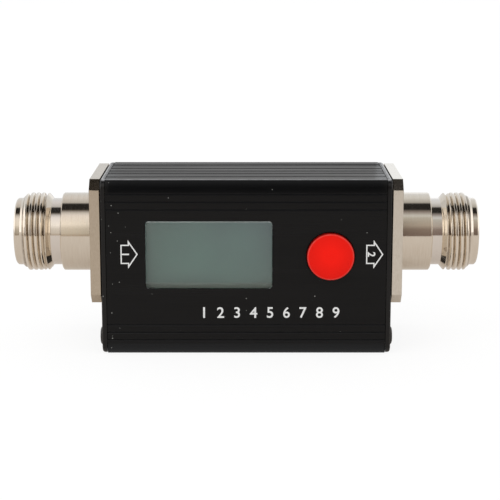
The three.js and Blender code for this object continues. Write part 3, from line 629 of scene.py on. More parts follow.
def press_groove(solid, axis, place, faces_axis, size):
    """Cuts three lines round a block at a place on one axis, and pushes the middle one in."""
    width, depth = size
    normal = Vector([float(i == axis) for i in range(3)])
    for shift in (-width / 2, 0, width / 2):
        geometry = solid.verts[:] + solid.edges[:] + solid.faces[:]
        bmesh.ops.bisect_plane(
            solid, geom=geometry, dist=0.00001, plane_co=normal * (place + shift), plane_no=normal
        )
    for outer, inward in ((case_low[faces_axis], 1), (case_high[faces_axis], -1)):
        line = [
            v for v in solid.verts
            if abs(v.co[axis] - place) < SAME_PLACE and abs(v.co[faces_axis] - outer) < SAME_PLACE
        ]
        push = Vector([inward * depth * (i == faces_axis) for i in range(3)])
        bmesh.ops.translate(solid, vec=push, verts=line)


def case_block():
    squash = Matrix.Diagonal((1, 1, CORNER_DEPTH / CORNER_HEIGHT, 1))
    solid = lengthwise(0.5, *case_low.yz, *case_high.yz)
    solid.transform(squash)
    round_edges(solid, edges_along(solid, 0), CORNER_DEPTH, segments=10)
    solid.transform(squash.inverted())
    for height in FACE_GROOVES:
        press_groove(solid, 2, case_low.z + height, 1, FACE_GROOVE)
        press_groove(solid, 2, case_high.z - height, 1, FACE_GROOVE)
    for offset, size in EDGE_GROOVES.items():
        press_groove(solid, 1, MIDDLE_Y + offset, 2, size)
    press_groove(solid, 1, (front_high.y + SEAM_Y) / 2, 2, EDGE_GROOVE)
    return solid


print(len(FACE_GROOVES) * 4 + len(EDGE_GROOVES) * 2, "grooves on the case, and one at each joint")

# %% [markdown]
# Inside, round channels take the screws of the end plates, and pairs of ribs hold the boards.
# They follow from the places of the screws and boards in the CAD model. A bar could be spun from
# a profile too, but then its ends are fans of triangles, which a bore cuts along their edges.

# %% Channels and ribs inside a half shell
WALL = 1.5
CHANNEL_RADIUS, SCREW_GAP = 2.2, 0.1
RIB_THICKNESS, RIB_HEIGHT, RIB_GAP = 0.8, 1.2, 0.15
lower_z, upper_z = case_low.z + WALL, case_high.z - WALL


def bar(radius, centre, ends, steps=24):
    """A round bar along X whose ends are single faces."""
    low_x, high_x = ends
    solid = bmesh.new()
    bmesh.ops.create_cone(
        solid, cap_ends=True, cap_tris=False, segments=steps, radius1=radius, radius2=radius,
        depth=high_x - low_x,
    )
    bmesh.ops.rotate(solid, matrix=Matrix.Rotation(pi / 2, 3, "Y"), verts=solid.verts)
    bmesh.ops.translate(solid, vec=((low_x + high_x) / 2, *centre), verts=solid.verts)
    return solid


def add_channel(solid, screw, shaft_radius, outer_y, outer_z):
    """A bar with a bore along the whole shell, and the web that joins it to the corner."""
    spot = middle_mm(screw)
    ys, zs = sorted((spot.y, outer_y)), sorted((spot.z, outer_z))
    solid = combine(solid, bar(CHANNEL_RADIUS, spot.yz, past_ends(0.7)), "UNION")
    solid = combine(solid, lengthwise(0.6, ys[0], zs[0], ys[1], zs[1]), "UNION")
    return combine(solid, bar(shaft_radius + SCREW_GAP, spot.yz, past_ends(1)))


def add_ribs(solid, board):
    low, high = box_mm(board)
    spans = ((lower_z - WALL / 2, lower_z + RIB_HEIGHT), (upper_z - RIB_HEIGHT, upper_z + WALL / 2))
    for near in (low.y - RIB_GAP - RIB_THICKNESS, high.y + RIB_GAP):
        for bottom, top in spans:
            rib = lengthwise(0.8, near, bottom, near + RIB_THICKNESS, top)
            solid = combine(solid, rib, "UNION")
    return solid


print("channels of", CHANNEL_RADIUS, "mm radius, ribs of", RIB_THICKNESS, "mm")

# %% Both half shells
LAP_GAP = 0.1
CAVITY_CORNER = 0.6


def cavity():
    solid = lengthwise(1, case_low.y + WALL, lower_z, case_high.y - WALL, upper_z)
    round_edges(solid, edges_along(solid, 0), CAVITY_CORNER, segments=3)
    return solid


def slab(low_y, high_y, inset=-OVERRUN):
    """All that lies between two depths, its top and bottom drawn in from the case's."""
    return lengthwise(1, low_y, case_low.z + inset, high_y, case_high.z - inset)


front = combine(case_block(), slab(case_low.y - OVERRUN, front_high.y), "INTERSECT")
front = combine(front, cavity())
front = combine(front, slab(rear_low.y - LAP_GAP, front_high.y + OVERRUN, WALL - LAP - LAP_GAP))

tongue = lengthwise(0.6, rear_low.y, lower_z - LAP, SEAM_Y + OVERRUN, upper_z + LAP)
rear = combine(case_block(), slab(SEAM_Y, case_high.y + OVERRUN), "INTERSECT")
rear = combine(combine(rear, tongue, "UNION"), cavity())
print("the lap joint is", round(SEAM_Y - rear_low.y, 2), "mm deep")

# %% Fit the shells out and finish them
PLATE_SHAFT, FLANGE_SHAFT = 0.95, 1.2
WINDOW_MARGIN, OPENING_CORNER = 1.2, 0.7
BUTTON_GAP = 0.2
SOCKET_GAP = Vector((0.3, 0.3, 0.3))


def fit_out(solid, side, outer_y, board):
    """The channels of the lower and the upper screw at one side, and the ribs of a board."""
    bottom, top = case_low.z + WALL / 2, case_high.z - WALL / 2
    solid = add_channel(solid, f"right_plate_screw_{side}", PLATE_SHAFT, outer_y, bottom)
    solid = add_channel(solid, f"right_flange_screw_upper_{side}", FLANGE_SHAFT, outer_y, top)
    return add_ribs(solid, board)


def sawn(solid):
    """A shell cut to the case's length, its fresh edges broken like all the others."""
    beyond = Vector((0, OVERRUN, OVERRUN))
    return soften(combine(solid, block(case_low - beyond, case_high + beyond), "INTERSECT"), 0.07)


window_low, window_high = box_mm("display_window")
margin = Vector((WINDOW_MARGIN, 0, WINDOW_MARGIN))
opening_low, opening_high = window_low + margin, window_high - margin
opening_low.y, opening_high.y = case_low.y - OVERRUN, case_low.y + 2 * WALL

front = fit_out(front, 1, case_low.y + WALL / 2, "main_board")
front = combine(front, rounded_block(opening_low, opening_high, 1, OPENING_CORNER))
hole = cap_radius + BUTTON_GAP
button_bore = [(-WALL, 0), (-WALL, hole), (2 * WALL, hole), (2 * WALL, 0)]
hole_centre = (cap_centre.x, case_low.y, cap_centre.z)
front = combine(front, turned(button_bore, 64, axis="Y", centre=hole_centre))

rear = fit_out(rear, 2, case_high.y - WALL / 2, "coupler_board")
socket_low, socket_high = box_mm("charge_socket")
rear = combine(rear, block(socket_low - SOCKET_GAP, socket_high + SOCKET_GAP))

piece(sawn(front), "front_half_shell", black_anodised_shell, stands_for=["front_shell"])
piece(sawn(rear), "rear_half_shell", black_anodised_shell, stands_for=["rear_shell"])

# %% [markdown]
# ## End plates
# Each end is closed by a 1 mm plate, punched from sheet and anodised like the case. Its corners
# are rounder than the case's, and its outer edge is broken by a small rounding. The left end is
# the right end turned half round, less the hole for the charging socket. Turning is better than
# mirroring here, because the real ends are also one part turned round.

# %% End plates
plate_low, plate_high = box_mm("right_end_plate")
jack_axis = middle_mm("right_jack_contact").yz
PLATE_CORNER, PLATE_EDGE = 1.8, 0.5
SPIGOT_HOLE, SHAFT_HOLE, PLATE_SCREW_HOLE = 4.65, 1.3, 1.05
SOCKET_CORNER = 0.7
FLANGE_SCREWS = [f"flange_screw_{level}_{side}" for level in ("upper", "lower") for side in (1, 2)]
PLATE_SCREWS = ["plate_screw_1", "plate_screw_2"]
about_middle = Matrix.Translation((0, MIDDLE_Y, 0))
HALF_TURN = about_middle @ Matrix.Rotation(pi, 4, "Z") @ about_middle.inverted()


def punch(solid, radius, spot, steps=24):
    ends = plate_low.x - OVERRUN, plate_high.x + OVERRUN
    return combine(solid, bar(radius, spot, ends, steps))


def end_plate(with_socket):
    solid = rounded_block(plate_low, plate_high, 0, PLATE_CORNER, 8)
    round_edges(solid, edges_at(solid, 0, plate_high.x), PLATE_EDGE, 3)
    solid = punch(solid, SPIGOT_HOLE, jack_axis, 48)
    for screws, radius in ((FLANGE_SCREWS, SHAFT_HOLE), (PLATE_SCREWS, PLATE_SCREW_HOLE)):
        for screw in screws:
            solid = punch(solid, radius, middle_mm("right_" + screw).yz)
    if with_socket:
        low, high = socket_low - SOCKET_GAP, socket_high + SOCKET_GAP + Vector((OVERRUN, 0, 0))
        solid = combine(solid, rounded_block(low, high, 0, SOCKET_CORNER, 4))
    return solid


piece(end_plate(True), "right_plate", black_anodised_plate, stands_for=["right_end_plate"])
left_plate = end_plate(False)
left_plate.transform(HALF_TURN)
piece(left_plate, "left_plate", black_anodised_plate, stands_for=["left_end_plate"])

# %% [markdown]
# ## Jacks
# A jack's body is turned from one brass bar: a plain shoulder, a neck, a bevel that leads onto
# the thread, and a plain rim. Its square flange is milled. A thread could be drawn as bump, but
# its outline shows against the floor, so it is a real one here, a ridge that climbs round the
# barrel: a small section is spun like a screw, moving along X by one pitch a turn, and it fades
# at both ends as a cut thread does.

# %% Barrel sizes
jack_low, jack_high = box_mm("right_jack_body")
FLANGE_THICKNESS, FLANGE_GAP = 2.0, 0.1
FLANGE_BACK = plate_high.x + FLANGE_GAP
FLANGE_FACE = FLANGE_BACK + FLANGE_THICKNESS
SHOULDER_END = FLANGE_FACE + 6.45
NECK_END = SHOULDER_END + 2.05
LAND = NECK_END + 0.9
THREAD_PITCH, THREAD_DEPTH, THREAD_TURNS = 1.058, 0.6, 3.5
THREAD_START = LAND + 0.64
THREAD_END = THREAD_START + THREAD_TURNS * THREAD_PITCH
TIP = jack_high.x
RIM_START = TIP - 1.2
SHOULDER_RADIUS, NECK_RADIUS, THREAD_RADIUS, RIM_RADIUS = 7.93, 6.8, 7.94, 6.82
ROOT_RADIUS = THREAD_RADIUS - THREAD_DEPTH
SPIGOT_RADIUS, SEAT_RADIUS = 4.5, 3.6
BORE_RADIUS, BORE_FLOOR = 4.1, TIP - 9.1
print("a jack reaches", round(TIP - FLANGE_FACE, 2), "mm out from its flange")

# %% Grime, painted shade and painted highlights on the barrels
# Grime and painted shade in the thread's roots, a painted highlight on its crests, and a whiter
# neck, which nothing rubs
tree = nickel_jack.node_tree
outward = add(tree, "Math", {0: axes(tree)[0]}, operation="ABSOLUTE").outputs[0]
radius = distance(tree, (0, *jack_axis), counted=(0, 1, 1))
threaded = where(
    tree, span(outward, LAND + 0.2, LAND + 0.4), span(outward, RIM_START - 0.4, RIM_START - 0.7)
)
in_root = span(radius, ROOT_RADIUS + 0.2, ROOT_RADIUS)
grime_and_shade = where(tree, threaded, in_root, grain(tree, 0.8, 0.3, 0.6))
painted_crest_highlight = where(tree, threaded, span(radius, THREAD_RADIUS - 0.2, THREAD_RADIUS - 0.05), 0.7)
neck = where(
    tree, span(outward, SHOULDER_END, SHOULDER_END + 0.05),
    span(outward, NECK_END, NECK_END - 0.05), 0.7,
)
coat_over(tree, (neck, "#F2EDE9"), (painted_crest_highlight, "#FAF2E6"), (grime_and_shade, "#6E6156"))
print("the thread's roots lie at a radius of", round(ROOT_RADIUS, 2), "mm")

# %% Barrel
BARREL_PROFILE = [
    (jack_low.x, SEAT_RADIUS),
    (jack_low.x, SPIGOT_RADIUS),
    (FLANGE_FACE - 1, SPIGOT_RADIUS),
    (FLANGE_FACE - 1, SHOULDER_RADIUS),
    (SHOULDER_END - 0.22, SHOULDER_RADIUS),
    (SHOULDER_END, SHOULDER_RADIUS - 0.22),
    (SHOULDER_END, NECK_RADIUS),
    (NECK_END, NECK_RADIUS),
    (LAND, THREAD_RADIUS - 0.08),
    (LAND + 0.12, THREAD_RADIUS - 0.08),
    (LAND + 0.4, ROOT_RADIUS),
    (RIM_START - 0.55, ROOT_RADIUS),
    (RIM_START, RIM_RADIUS),
    (TIP - 0.3, RIM_RADIUS),
    (TIP, RIM_RADIUS - 0.3),
    (TIP, BORE_RADIUS + 0.4),
    (TIP - 0.4, BORE_RADIUS),
    (BORE_FLOOR, BORE_RADIUS),
    (BORE_FLOOR, SEAT_RADIUS),
    (jack_low.x, SEAT_RADIUS),
]


def barrel():
    return soften(turned(BARREL_PROFILE, 128, centre=(0, *jack_axis)), 0.06, angle=25)


print("the barrel's profile has", len(BARREL_PROFILE), "points")

# %% Thread
# Half of the ridge's section, from its root to its crest, as shares of the pitch and the depth
RIDGE = [(0.5, 1.0), (0.44, 0.88), (0.37, 0.55), (0.28, 0.2), (0.18, 0.05), (0.06, 0.0)]
BURIED = [(0.5, 1.3), (-0.5, 1.3)]
STEPS_A_TURN = 80


def thread(phase):
    """A rounded ridge that winds round the barrel from an angle, fading at both ends."""
    steps = round(STEPS_A_TURN * THREAD_TURNS)
    section = [(-x, d) for x, d in RIDGE] + [(x, d) for x, d in reversed(RIDGE)] + BURIED
    solid = bmesh.new()
    centre = Vector((0, *jack_axis))
    offsets = [
        (THREAD_START + x * THREAD_PITCH, THREAD_RADIUS - d * THREAD_DEPTH) for x, d in section
    ]
    verts = [solid.verts.new(centre + Vector((x, 0, r))) for x, r in offsets]
    edges = [solid.edges.new(pair) for pair in zip(verts, verts[1:] + verts[:1])]
    bmesh.ops.rotate(solid, cent=centre, matrix=Matrix.Rotation(phase, 3, "X"), verts=solid.verts)
    bmesh.ops.spin(
        solid, geom=verts + edges, cent=centre, axis=(1, 0, 0), angle=tau * THREAD_TURNS,
        steps=steps, dvec=(THREAD_PITCH * THREAD_TURNS / steps, 0, 0),
        use_merge=False, use_duplicate=False,
    )
    open_ends = [e for e in solid.edges if e.is_boundary]
    bmesh.ops.holes_fill(solid, edges=open_ends, sides=len(verts))
    # The ridge sinks under the root over the first and the last 0.7 of a pitch
    for v in solid.verts:
        from_end = min(v.co.x - THREAD_START, THREAD_END - v.co.x) / THREAD_PITCH
        kept = min(1.0, max(0.0, (from_end + 0.5) / 0.7))
        arm = (v.co - centre) * Vector((0, 1, 1))
        floor = min(arm.length, ROOT_RADIUS - 0.05)
        v.co += arm.normalized() * (floor - arm.length) * (1 - kept)
    return solid


print("thread:", THREAD_TURNS, "turns", THREAD_PITCH, "mm apart")

# %% Flange and both jacks
FLANGE_CUT = 2.0
SINK_RADIUS, SINK_DEPTH = 2.4, 1.25


def flange():
    """A square plate with cut corners, a hole for the barrel and four countersunk holes."""
    low = (FLANGE_BACK, jack_low.y, jack_low.z)
    solid = rounded_block(low, (FLANGE_FACE, jack_high.y, jack_high.z), 0, FLANGE_CUT, segments=1)
    behind, before = FLANGE_BACK - OVERRUN, FLANGE_FACE + OVERRUN
    solid = combine(solid, bar(SEAT_RADIUS + 0.4, jack_axis, (behind, before), 48))
    sink = [
        (behind, 0), (behind, SHAFT_HOLE), (FLANGE_FACE - SINK_DEPTH, SHAFT_HOLE),
        (FLANGE_FACE, SINK_RADIUS), (before, SINK_RADIUS), (before, 0),
    ]
    for screw in FLANGE_SCREWS:
        solid = combine(solid, turned(sink, 40, centre=(0, *middle_mm("right_" + screw).yz)))
    return soften(solid, 0.1)


def joined(*solids):
    """Several closed forms in one mesh. They overlap as one lump of metal, so no seam shows."""
    whole = bmesh.new()
    for solid in solids:
        part = bpy.data.meshes.new("part")
        solid.to_mesh(part)
        solid.free()
        whole.from_mesh(part)
        bpy.data.meshes.remove(part)
    return whole


for side, turn, phase in (("right", Matrix(), 0), ("left", HALF_TURN, pi)):
    square = flange()
    for face in square.faces:
        face.material_index = 1
    body = joined(barrel(), thread(phase), square)
    body.transform(turn)
    piece(body, side + "_jack", nickel_jack, stands_for=[side + "_jack_body"], second=nickel_flange)

# %% [markdown]
# ## Screws
# Four countersunk screws lie flush in each flange. Two low, domed screws hold the bottom of each
# end plate. All have a cross recess. It could be a dark mark on the head, but a cut one shades
# itself from any side, so two crossed bars with sloping ends are cut out.

# %% Screws
FLUSH_HEAD, DOMED_HEAD = 2.3, 1.8
RECESS_DEPTH = 0.55


def cross_recess(head_radius):
    """Two crossed wedges whose open side lies at x = 0."""
    reach, half = head_radius * 0.6, head_radius * 0.15
    wedges = []
    for size in ((reach, half), (half, reach)):
        wedge = block((-RECESS_DEPTH, -size[0], -size[1]), (OVERRUN, size[0], size[1]))
        bottom = [v for v in wedge.verts if v.co.x < 0]
        bmesh.ops.scale(wedge, vec=(1, 0.45, 0.45), verts=bottom)
        wedges.append(wedge)
    return wedges


def flush_profile(length):
    head = [(-1.15, 1.2), (0, FLUSH_HEAD), (0, 0)]
    return [(-length, 0), (-length, 1.0), (-length + 0.3, 1.2), *head]


def domed_profile(length):
    dome = [(-0.46, DOMED_HEAD), (-0.3, 1.64), (-0.21, 1.35), (-0.17, 0.9), (-0.16, 0)]
    head = [(-0.65, 0.95), (-0.65, DOMED_HEAD), *dome]
    return [(-length, 0), (-length, 0.75), (-length + 0.3, 0.95), *head]


def screw(node, profile, head_radius, material):
    """A turned screw whose head faces out of the end that it is on."""
    low, high = box_mm(node)
    solid = turned(profile(high.x - low.x), 40)
    for wedge in cross_recess(head_radius):
        solid = combine(solid, wedge)
    soften(solid, 0.05, angle=50)
    face = high.x
    if high.x < 0:
        solid.transform(Matrix.Rotation(pi, 4, "Z"))
        face = low.x
    spot = (low + high) / 2
    bmesh.ops.translate(solid, vec=(face, spot.y, spot.z), verts=solid.verts)
    piece(solid, node + "_head", material, stands_for=[node])


for side in ("right", "left"):
    for node in FLANGE_SCREWS:
        screw(f"{side}_{node}", flush_profile, FLUSH_HEAD, nickel_screw)
    for node in PLATE_SCREWS:
        screw(f"{side}_{node}", domed_profile, DOMED_HEAD, black_screw)

# %% [markdown]
# ## Window and button
# The window is one moulding: a plug that fills the opening, on a wider plate that is glued behind
# the wall. Light is bent at its faces, so both must be one closed form. The button is a turned
# form, nearly flat on its face, with a small rounding round it. A bevel could round it too, but
# points on a quarter circle keep the rounding and the crowned face in one profile.

# %% Window
PLUG_GAP, PLUG_EDGE, PANE_BACK = 0.05, 0.25, 0.6
gap = Vector((PLUG_GAP, 0, PLUG_GAP))
plug_low, plug_high = opening_low + gap, opening_high - gap
plug_low.y, plug_high.y = window_low.y, window_high.y - 0.1
plug = rounded_block(plug_low, plug_high, 1, OPENING_CORNER - PLUG_GAP)
round_edges(plug, edges_at(plug, 1, plug_low.y), PLUG_EDGE, 3)
back_low = (window_low.x, window_high.y - PANE_BACK, window_low.z)
back = rounded_block(back_low, window_high, 1, OPENING_CORNER + WINDOW_MARGIN)
piece(combine(plug, back, "UNION"), "window_pane", clear_window, stands_for=["display_window"])

# %% Button
FACE_CROWN, CAP_EDGE, LIP_THICKNESS = 0.12, 0.35, 0.8
rounding = [
    (cap_low.y + FACE_CROWN + CAP_EDGE * (1 - cos(a)), cap_radius - CAP_EDGE * (1 - sin(a)))
    for a in [i * pi / 12 for i in range(7)]
]
cap_profile = [
    (cap_low.y, 0),
    (cap_low.y + FACE_CROWN / 4, cap_radius / 2),
    *rounding,
    (cap_high.y - LIP_THICKNESS, cap_radius),
    (cap_high.y - LIP_THICKNESS, cap_radius + BUTTON_LIP),
    (cap_high.y, cap_radius + BUTTON_LIP),
    (cap_high.y, 0),
]
cap = turned(cap_profile, axis="Y", centre=(cap_centre.x, 0, cap_centre.z))
piece(cap, "red_button", red_plastic, body="button", stands_for=["button_cap"])

# %% [markdown]
# ## Print
# The front is screen printed in white: an outlined arrow at each end that shows which way the
# signal runs, with the jack's number in it, and a row of plain numbers under the display. Ink
# could be a colour on the case, but as a thin layer of its own it has a crisp edge at any
# distance. An arrow starts as one flat face, which is inset by the width of a line. Only the rim
# is kept.

# %% Arrows
INK = 0.02
FRONT_Y = case_low.y
LINE_WIDTH = 0.24
ARROW_HEIGHT = 20.38


def arrow(name, tail_x):
    upper = [(0, 1.94), (1.45, 1.94), (1.45, 2.9)]
    lower = [(x, -z) for x, z in reversed(upper)]
    corners = upper + [(3.4, 0)] + lower
    drawing = bmesh.new()
    verts = [drawing.verts.new((tail_x + x, FRONT_Y - INK, ARROW_HEIGHT + z)) for x, z in corners]
    whole = drawing.faces.new(verts)
    whole.normal_update()
    bmesh.ops.inset_individual(drawing, faces=[whole], thickness=LINE_WIDTH, use_even_offset=True)
    bmesh.ops.delete(drawing, geom=[whole], context="FACES")
    # The ink's thickness, just clear of the front face
    raised = bmesh.ops.extrude_face_region(drawing, geom=drawing.faces[:])["geom"]
    raised = [v for v in raised if isinstance(v, bmesh.types.BMVert)]
    bmesh.ops.translate(drawing, vec=(0, -INK, 0), verts=raised)
    return piece(drawing, name, white_ink)


arrow("left_arrow", tail_x=-24.83)
arrow("right_arrow", tail_x=23.68)

# %% Numbers
def number(text, centre, height, name, turn=0.0, weight=0.0):
    """A plain number in ink, with its middle at centre (x, z), turned clockwise."""
    words = bpy.data.curves.new(name, "FONT")
    words.body = text
    words.align_x, words.align_y = "CENTER", "CENTER"
    words.offset = weight
    words.extrude = INK / 2
    held = bpy.data.objects.new(name, words)
    bpy.context.scene.collection.objects.link(held)
    shaped = held.evaluated_get(bpy.context.evaluated_depsgraph_get())
    outline = bpy.data.meshes.new_from_object(shaped)
    bpy.data.objects.remove(held)
    drawing = bmesh.new()
    drawing.from_mesh(outline)
    bmesh.ops.remove_doubles(drawing, verts=drawing.verts, dist=SAME_PLACE / 10)
    tops = [v.co.y for v in drawing.verts]
    wides = [v.co.x for v in drawing.verts]
    middle = Vector(((min(wides) + max(wides)) / 2, (min(tops) + max(tops)) / 2, 0))
    size = height / (max(tops) - min(tops))
    sized = Matrix.Diagonal((size, size, 1, 1)) @ Matrix.Translation(-middle)
    stand_up = Matrix.Rotation(pi / 2, 4, "X") @ Matrix.Rotation(-turn, 4, "Z")
    in_place = Matrix.Translation((centre[0], FRONT_Y - 1.5 * INK, centre[1]))
    drawing.transform(in_place @ stand_up @ sized)
    return piece(drawing, name, white_ink)


for text, x, name in (("1", -23.9, "left_jack_number"), ("2", 24.75, "right_jack_number")):
    number(text, (x, ARROW_HEIGHT), 1.5, name, turn=pi / 2, weight=0.02)

SCALE_START, SCALE_END, SCALE_HEIGHT = -8.4, 17.85, 8.56
SCALE_NUMBERS = range(1, 10)
for value in SCALE_NUMBERS:
    share = (value - 1) / (len(SCALE_NUMBERS) - 1)
    x = SCALE_START + share * (SCALE_END - SCALE_START)
    number(str(value), (x, SCALE_HEIGHT), 2.2, f"scale_number_{value}", weight=0.012)

# %% [markdown]
# ## Parts that keep their CAD shape
# The insulators, contacts and the charging socket show only through small openings. A merged copy
# of the CAD mesh with a fine rounding is enough for them. Everything sealed inside the case keeps
# its CAD mesh and gets its real finish.

# %% Rounded copies
def rounded_copy(node, name, radius, material):
    """A CAD node's own shape, merged to one skin, its edges rounded."""
    solid = bmesh.new()
    solid.from_mesh(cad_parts[node].data)
    bmesh.ops.scale(solid, vec=(1 / MM, 1 / MM, 1 / MM), verts=solid.verts)
    return piece(soften(solid, radius), name, material, stands_for=[node])


for side in ("right", "left"):
    rounded_copy(side + "_jack_insulator", side + "_insulator", 0.08, white_ptfe)
    rounded_copy(side + "_jack_contact", side + "_contact", 0.05, gold_contact)
rounded_copy("charge_socket", "charging_socket", 0.05, tinned_steel)

# %% Finishes of the inner parts
INNER_FINISHES = {
    display_glass: ["display_glass"],
    white_diffuser: ["display_backlight"],
    tinned_steel: ["display_frame", "shield_can"],
    green_board: ["main_board", "coupler_board"],
    copper_strip: ["through_line", "forward_sense_line", "reflected_sense_line"],
    black_plastic: [
        "switch_plunger", "switch_body", "board_header", "processor", "charge_controller",
    ],
    silver_pouch: ["battery"],
    dark_foam: ["battery_pad"],
    red_wire: ["battery_lead_positive"],
    black_wire: ["battery_lead_negative"],
}
for material, nodes in INNER_FINISHES.items():
    for node in nodes:
        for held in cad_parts[node].material_slots:
            held.material = material
print(sum(map(len, INNER_FINISHES.values())), "inner parts have their finish")

# %% [markdown]
# ## Floor and light
# The meter stands on a white table in a white room. Bright nickel shows whatever stands round it,
# so the room matters more than the lamps: white behind, a black gap overhead, and in front a warm
# wall that is bright on the left and dim on the right. The table ends a third of a metre in front,
# and its edge shows as a sharp level line on both barrels. The camera must see pure white with a
# trace of shadow, and the nickel a warm white with all of the shadow. So each kind of ray gets its
# own mix of glowing and lit floor.

# %% Floor
TABLE_FRONT, TABLE_REACH = -0.315, 4.0
SHADOW_SEEN, SHADOW_IN_METAL = 0.18, 0.5


def bare_tree(owner):
    """The nodes of a material or a world, with nothing in them yet."""
    owner.use_nodes = True
    owner.node_tree.nodes.clear()
    return owner.node_tree


floor_white = bpy.data.materials.new("floor_white")
tree = bare_tree(floor_white)
ray = add(tree, "LightPath").outputs
lit = add(tree, "BsdfDiffuse", {"Color": "#EDEDED"}).outputs[0]
dull = add(tree, "BsdfDiffuse", {"Color": "#D7D7D7"}).outputs[0]
white = add(tree, "Emission", {"Color": "#FFFFFF", "Strength": 1.056}).outputs[0]
warm = add(tree, "Emission", {"Color": "#E6D6C6", "Strength": 0.8}).outputs[0]
seen = add(tree, "MixShader", {0: SHADOW_SEEN, 1: white, 2: lit}).outputs[0]
in_metal = add(tree, "MixShader", {0: SHADOW_IN_METAL, 1: warm, 2: dull}).outputs[0]
looks = {0: ray["Is Camera Ray"], 1: ray["Is Transmission Ray"]}
looks = add(tree, "Math", looks, operation="MAXIMUM").outputs[0]
mixed = add(tree, "MixShader", {0: ray["Is Glossy Ray"], 1: lit, 2: in_metal}).outputs[0]
mixed = add(tree, "MixShader", {0: looks, 1: mixed, 2: seen}).outputs[0]
add(tree, "OutputMaterial", {"Surface": mixed})

sheet = bmesh.new()
bmesh.ops.create_grid(sheet, x_segments=1, y_segments=1, size=TABLE_REACH)
bmesh.ops.translate(sheet, vec=(0, TABLE_FRONT + TABLE_REACH, 0), verts=sheet.verts)
floor = as_object(sheet, "floor")
floor.data.materials.append(floor_white)
print("the floor keeps", SHADOW_SEEN, "of its shadow")

# %% [markdown]
# Three cards shape the reflections in the case alone, as a photographer would set them. The meter
# stands on a strip of white paper, which lights its lower edge. A black flag in front of the upper
# edge makes that edge nearly black, and a grey card behind keeps the top darker than the bright
# wall would. They are seen only in reflections.

# %% Cards beside the case
def card(name, low, high, left, right, glow):
    """A thin glowing card between two corners in mm, its colour running from left to right."""
    sheet = block(low, high)
    bmesh.ops.scale(sheet, vec=(MM, MM, MM), verts=sheet.verts)
    laid = as_object(sheet, name)
    paper = bpy.data.materials.new(name)
    tree = bare_tree(paper)
    to_right = where(tree, span(axes(tree)[0], low[0], high[0]))
    colour = layered(tree, left, (to_right, right))
    light = add(tree, "Emission", {"Color": colour, "Strength": glow}).outputs[0]
    add(tree, "OutputMaterial", {"Surface": light})
    laid.data.materials.append(paper)
    laid.visible_camera = laid.visible_diffuse = False
    laid.visible_shadow = laid.visible_transmission = False


card("white_paper", (-28, -17, 0.02), (28, 2, 0.04), "#FFFFFF", "#FFFFFF", 0.85)
card("black_flag", (-27.5, -14.1, 32.4), (27.5, -14, 41), "#363636", "#060606", 1.0)
card("grey_card", (-27.6, 14.5, 35.3), (27.6, 14.6, 60), "#D9D9D9", "#CCCCCC", 1.0)
print("white paper under the case, a black flag before its upper edge, a grey card behind")

# %% [markdown]
# The sky is a picture of the room. A direction's height is measured over the top, from 0 degrees
# at the horizon in front to 180 degrees at the horizon behind. Diffuse surfaces get an even light
# instead, so that every colour comes out about as it is written.

# %% The walls of the room
BRIGHT_SIDE = [
    (0, "#B9AC9D"), (3, "#CCC3B5"), (18, "#DAD2C6"), (32, "#FFF8EE"), (58, "#EAE4E0"),
    (66, "#CECAC7"), (76, "#544D45"), (81, "#2C2A28"), (97.5, "#2A2826"), (105, "#BEBBB7"),
    (128, "#D8D5D4"), (150, "#D8D9DA"), (180, "#E2E4E6"),
]
DIM_SIDE = [
    (0, "#7E6F67"), (16, "#8C7E75"), (28, "#B2A89D"), (50, "#B8B5AD"), (57, "#CCCCCA"),
    (70, "#8A827E"), (79, "#383532"), (82, "#1C1B1A"), (98, "#232221"), (106, "#B2B0AC"),
    (128, "#D6D7D7"), (155, "#DCDFE2"), (166, "#F4F6F8"), (180, "#F8FAFC"),
]


def wall(tree, height, stops):
    """A band of colours by height, from (degrees, colour) stops."""
    colours = add(tree, "ValToRGB", {"Fac": height})
    band = colours.color_ramp
    for _ in range(len(stops) - 2):
        band.elements.new(0.5)
    for element, (degrees, colour) in zip(band.elements, stops):
        element.position = degrees / 180
        element.color = rgba(colour)
    return colours.outputs[0]


room = bpy.data.worlds.new("room")
bpy.context.scene.world = room
tree = bare_tree(room)
x, y, z = axes(tree, "Generated")
toward_us = add(tree, "Math", {0: y, 1: -1}, operation="MULTIPLY").outputs[0]
angle = add(tree, "Math", {0: z, 1: toward_us}, operation="ARCTAN2").outputs[0]
height = where(tree, (angle, 0, pi))
to_right = where(tree, (x, -0.09, 0.09))
picture = layered(
    tree, wall(tree, height, BRIGHT_SIDE), (to_right, wall(tree, height, DIM_SIDE))
)
print("the room has", len(BRIGHT_SIDE), "bands on the left and", len(DIM_SIDE), "on the right")

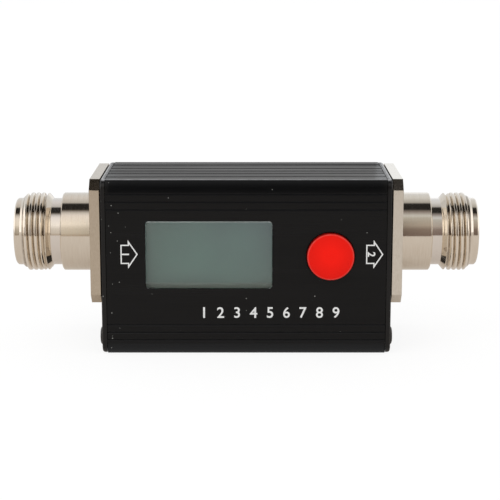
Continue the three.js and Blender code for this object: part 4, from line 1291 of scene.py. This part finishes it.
# %% What stands in the room
# Height runs from 0 to 1 for 0 to 180 degrees, and sideways from 0 ahead to 1 at the far sides
sideways = add(tree, "Math", {0: x}, operation="ABSOLUTE").outputs[0]
# The camera on its stand: a dark shape low in the middle
camera_body = where(tree, (sideways, 0.1, 0.07), (height, 0.28, 0.2))
# Low dark furniture to both sides, and a bright wall beyond it
furniture = where(tree, (sideways, 0.3, 0.5), (height, 0.3, 0.06))
far_wall = where(tree, (sideways, 0.7, 0.88))
# The gap overhead, which ends before the far walls
overhead = where(tree, (height, 0.415, 0.445), (height, 0.575, 0.54), (sideways, 0.95, 0.85))
picture = layered(
    tree, picture, (camera_body, "#22201E"), (furniture, "#3A2F26"), (far_wall, "#F8F4F2"),
    (overhead, "#262422"),
)
glow = add(tree, "MapRange", {"Value": far_wall, "To Min": 1.04, "To Max": 1.4}).outputs[0]
print("in the room: a camera, furniture, far walls and a gap overhead")

# %% One sky for each kind of ray
even = add(tree, "Background", {"Color": "#FFFFFF", "Strength": 0.92}).outputs[0]
reflected = add(tree, "Background", {"Color": picture, "Strength": glow}).outputs[0]
backdrop = add(tree, "Background", {"Color": "#FFFFFF", "Strength": 1.0}).outputs[0]
ray = add(tree, "LightPath").outputs
sky = add(tree, "MixShader", {0: ray["Is Glossy Ray"], 1: even, 2: reflected}).outputs[0]
sky = add(tree, "MixShader", {0: ray["Is Camera Ray"], 1: sky, 2: backdrop}).outputs[0]
add(tree, "OutputWorld", {"Surface": sky})
print("the camera sees white, metal sees the room, and the rest gets an even light")

# %% Lamp
def soft_box(name, place, size, watts):
    """A large square lamp that faces the middle of the meter, and that no metal shows."""
    light = bpy.data.lights.new(name, "AREA")
    light.size = size
    light.energy = watts
    made = bpy.data.objects.new(name, light)
    made.location = place
    aim = Vector((0, 0, 20 * MM)) - Vector(place)
    made.rotation_euler = aim.to_track_quat("-Z", "Y").to_euler()
    made.visible_glossy = False
    bpy.context.scene.collection.objects.link(made)


soft_box("key_lamp", (-0.5, -0.6, 0.9), size=0.6, watts=1.5)
print("one soft lamp, high on the left")
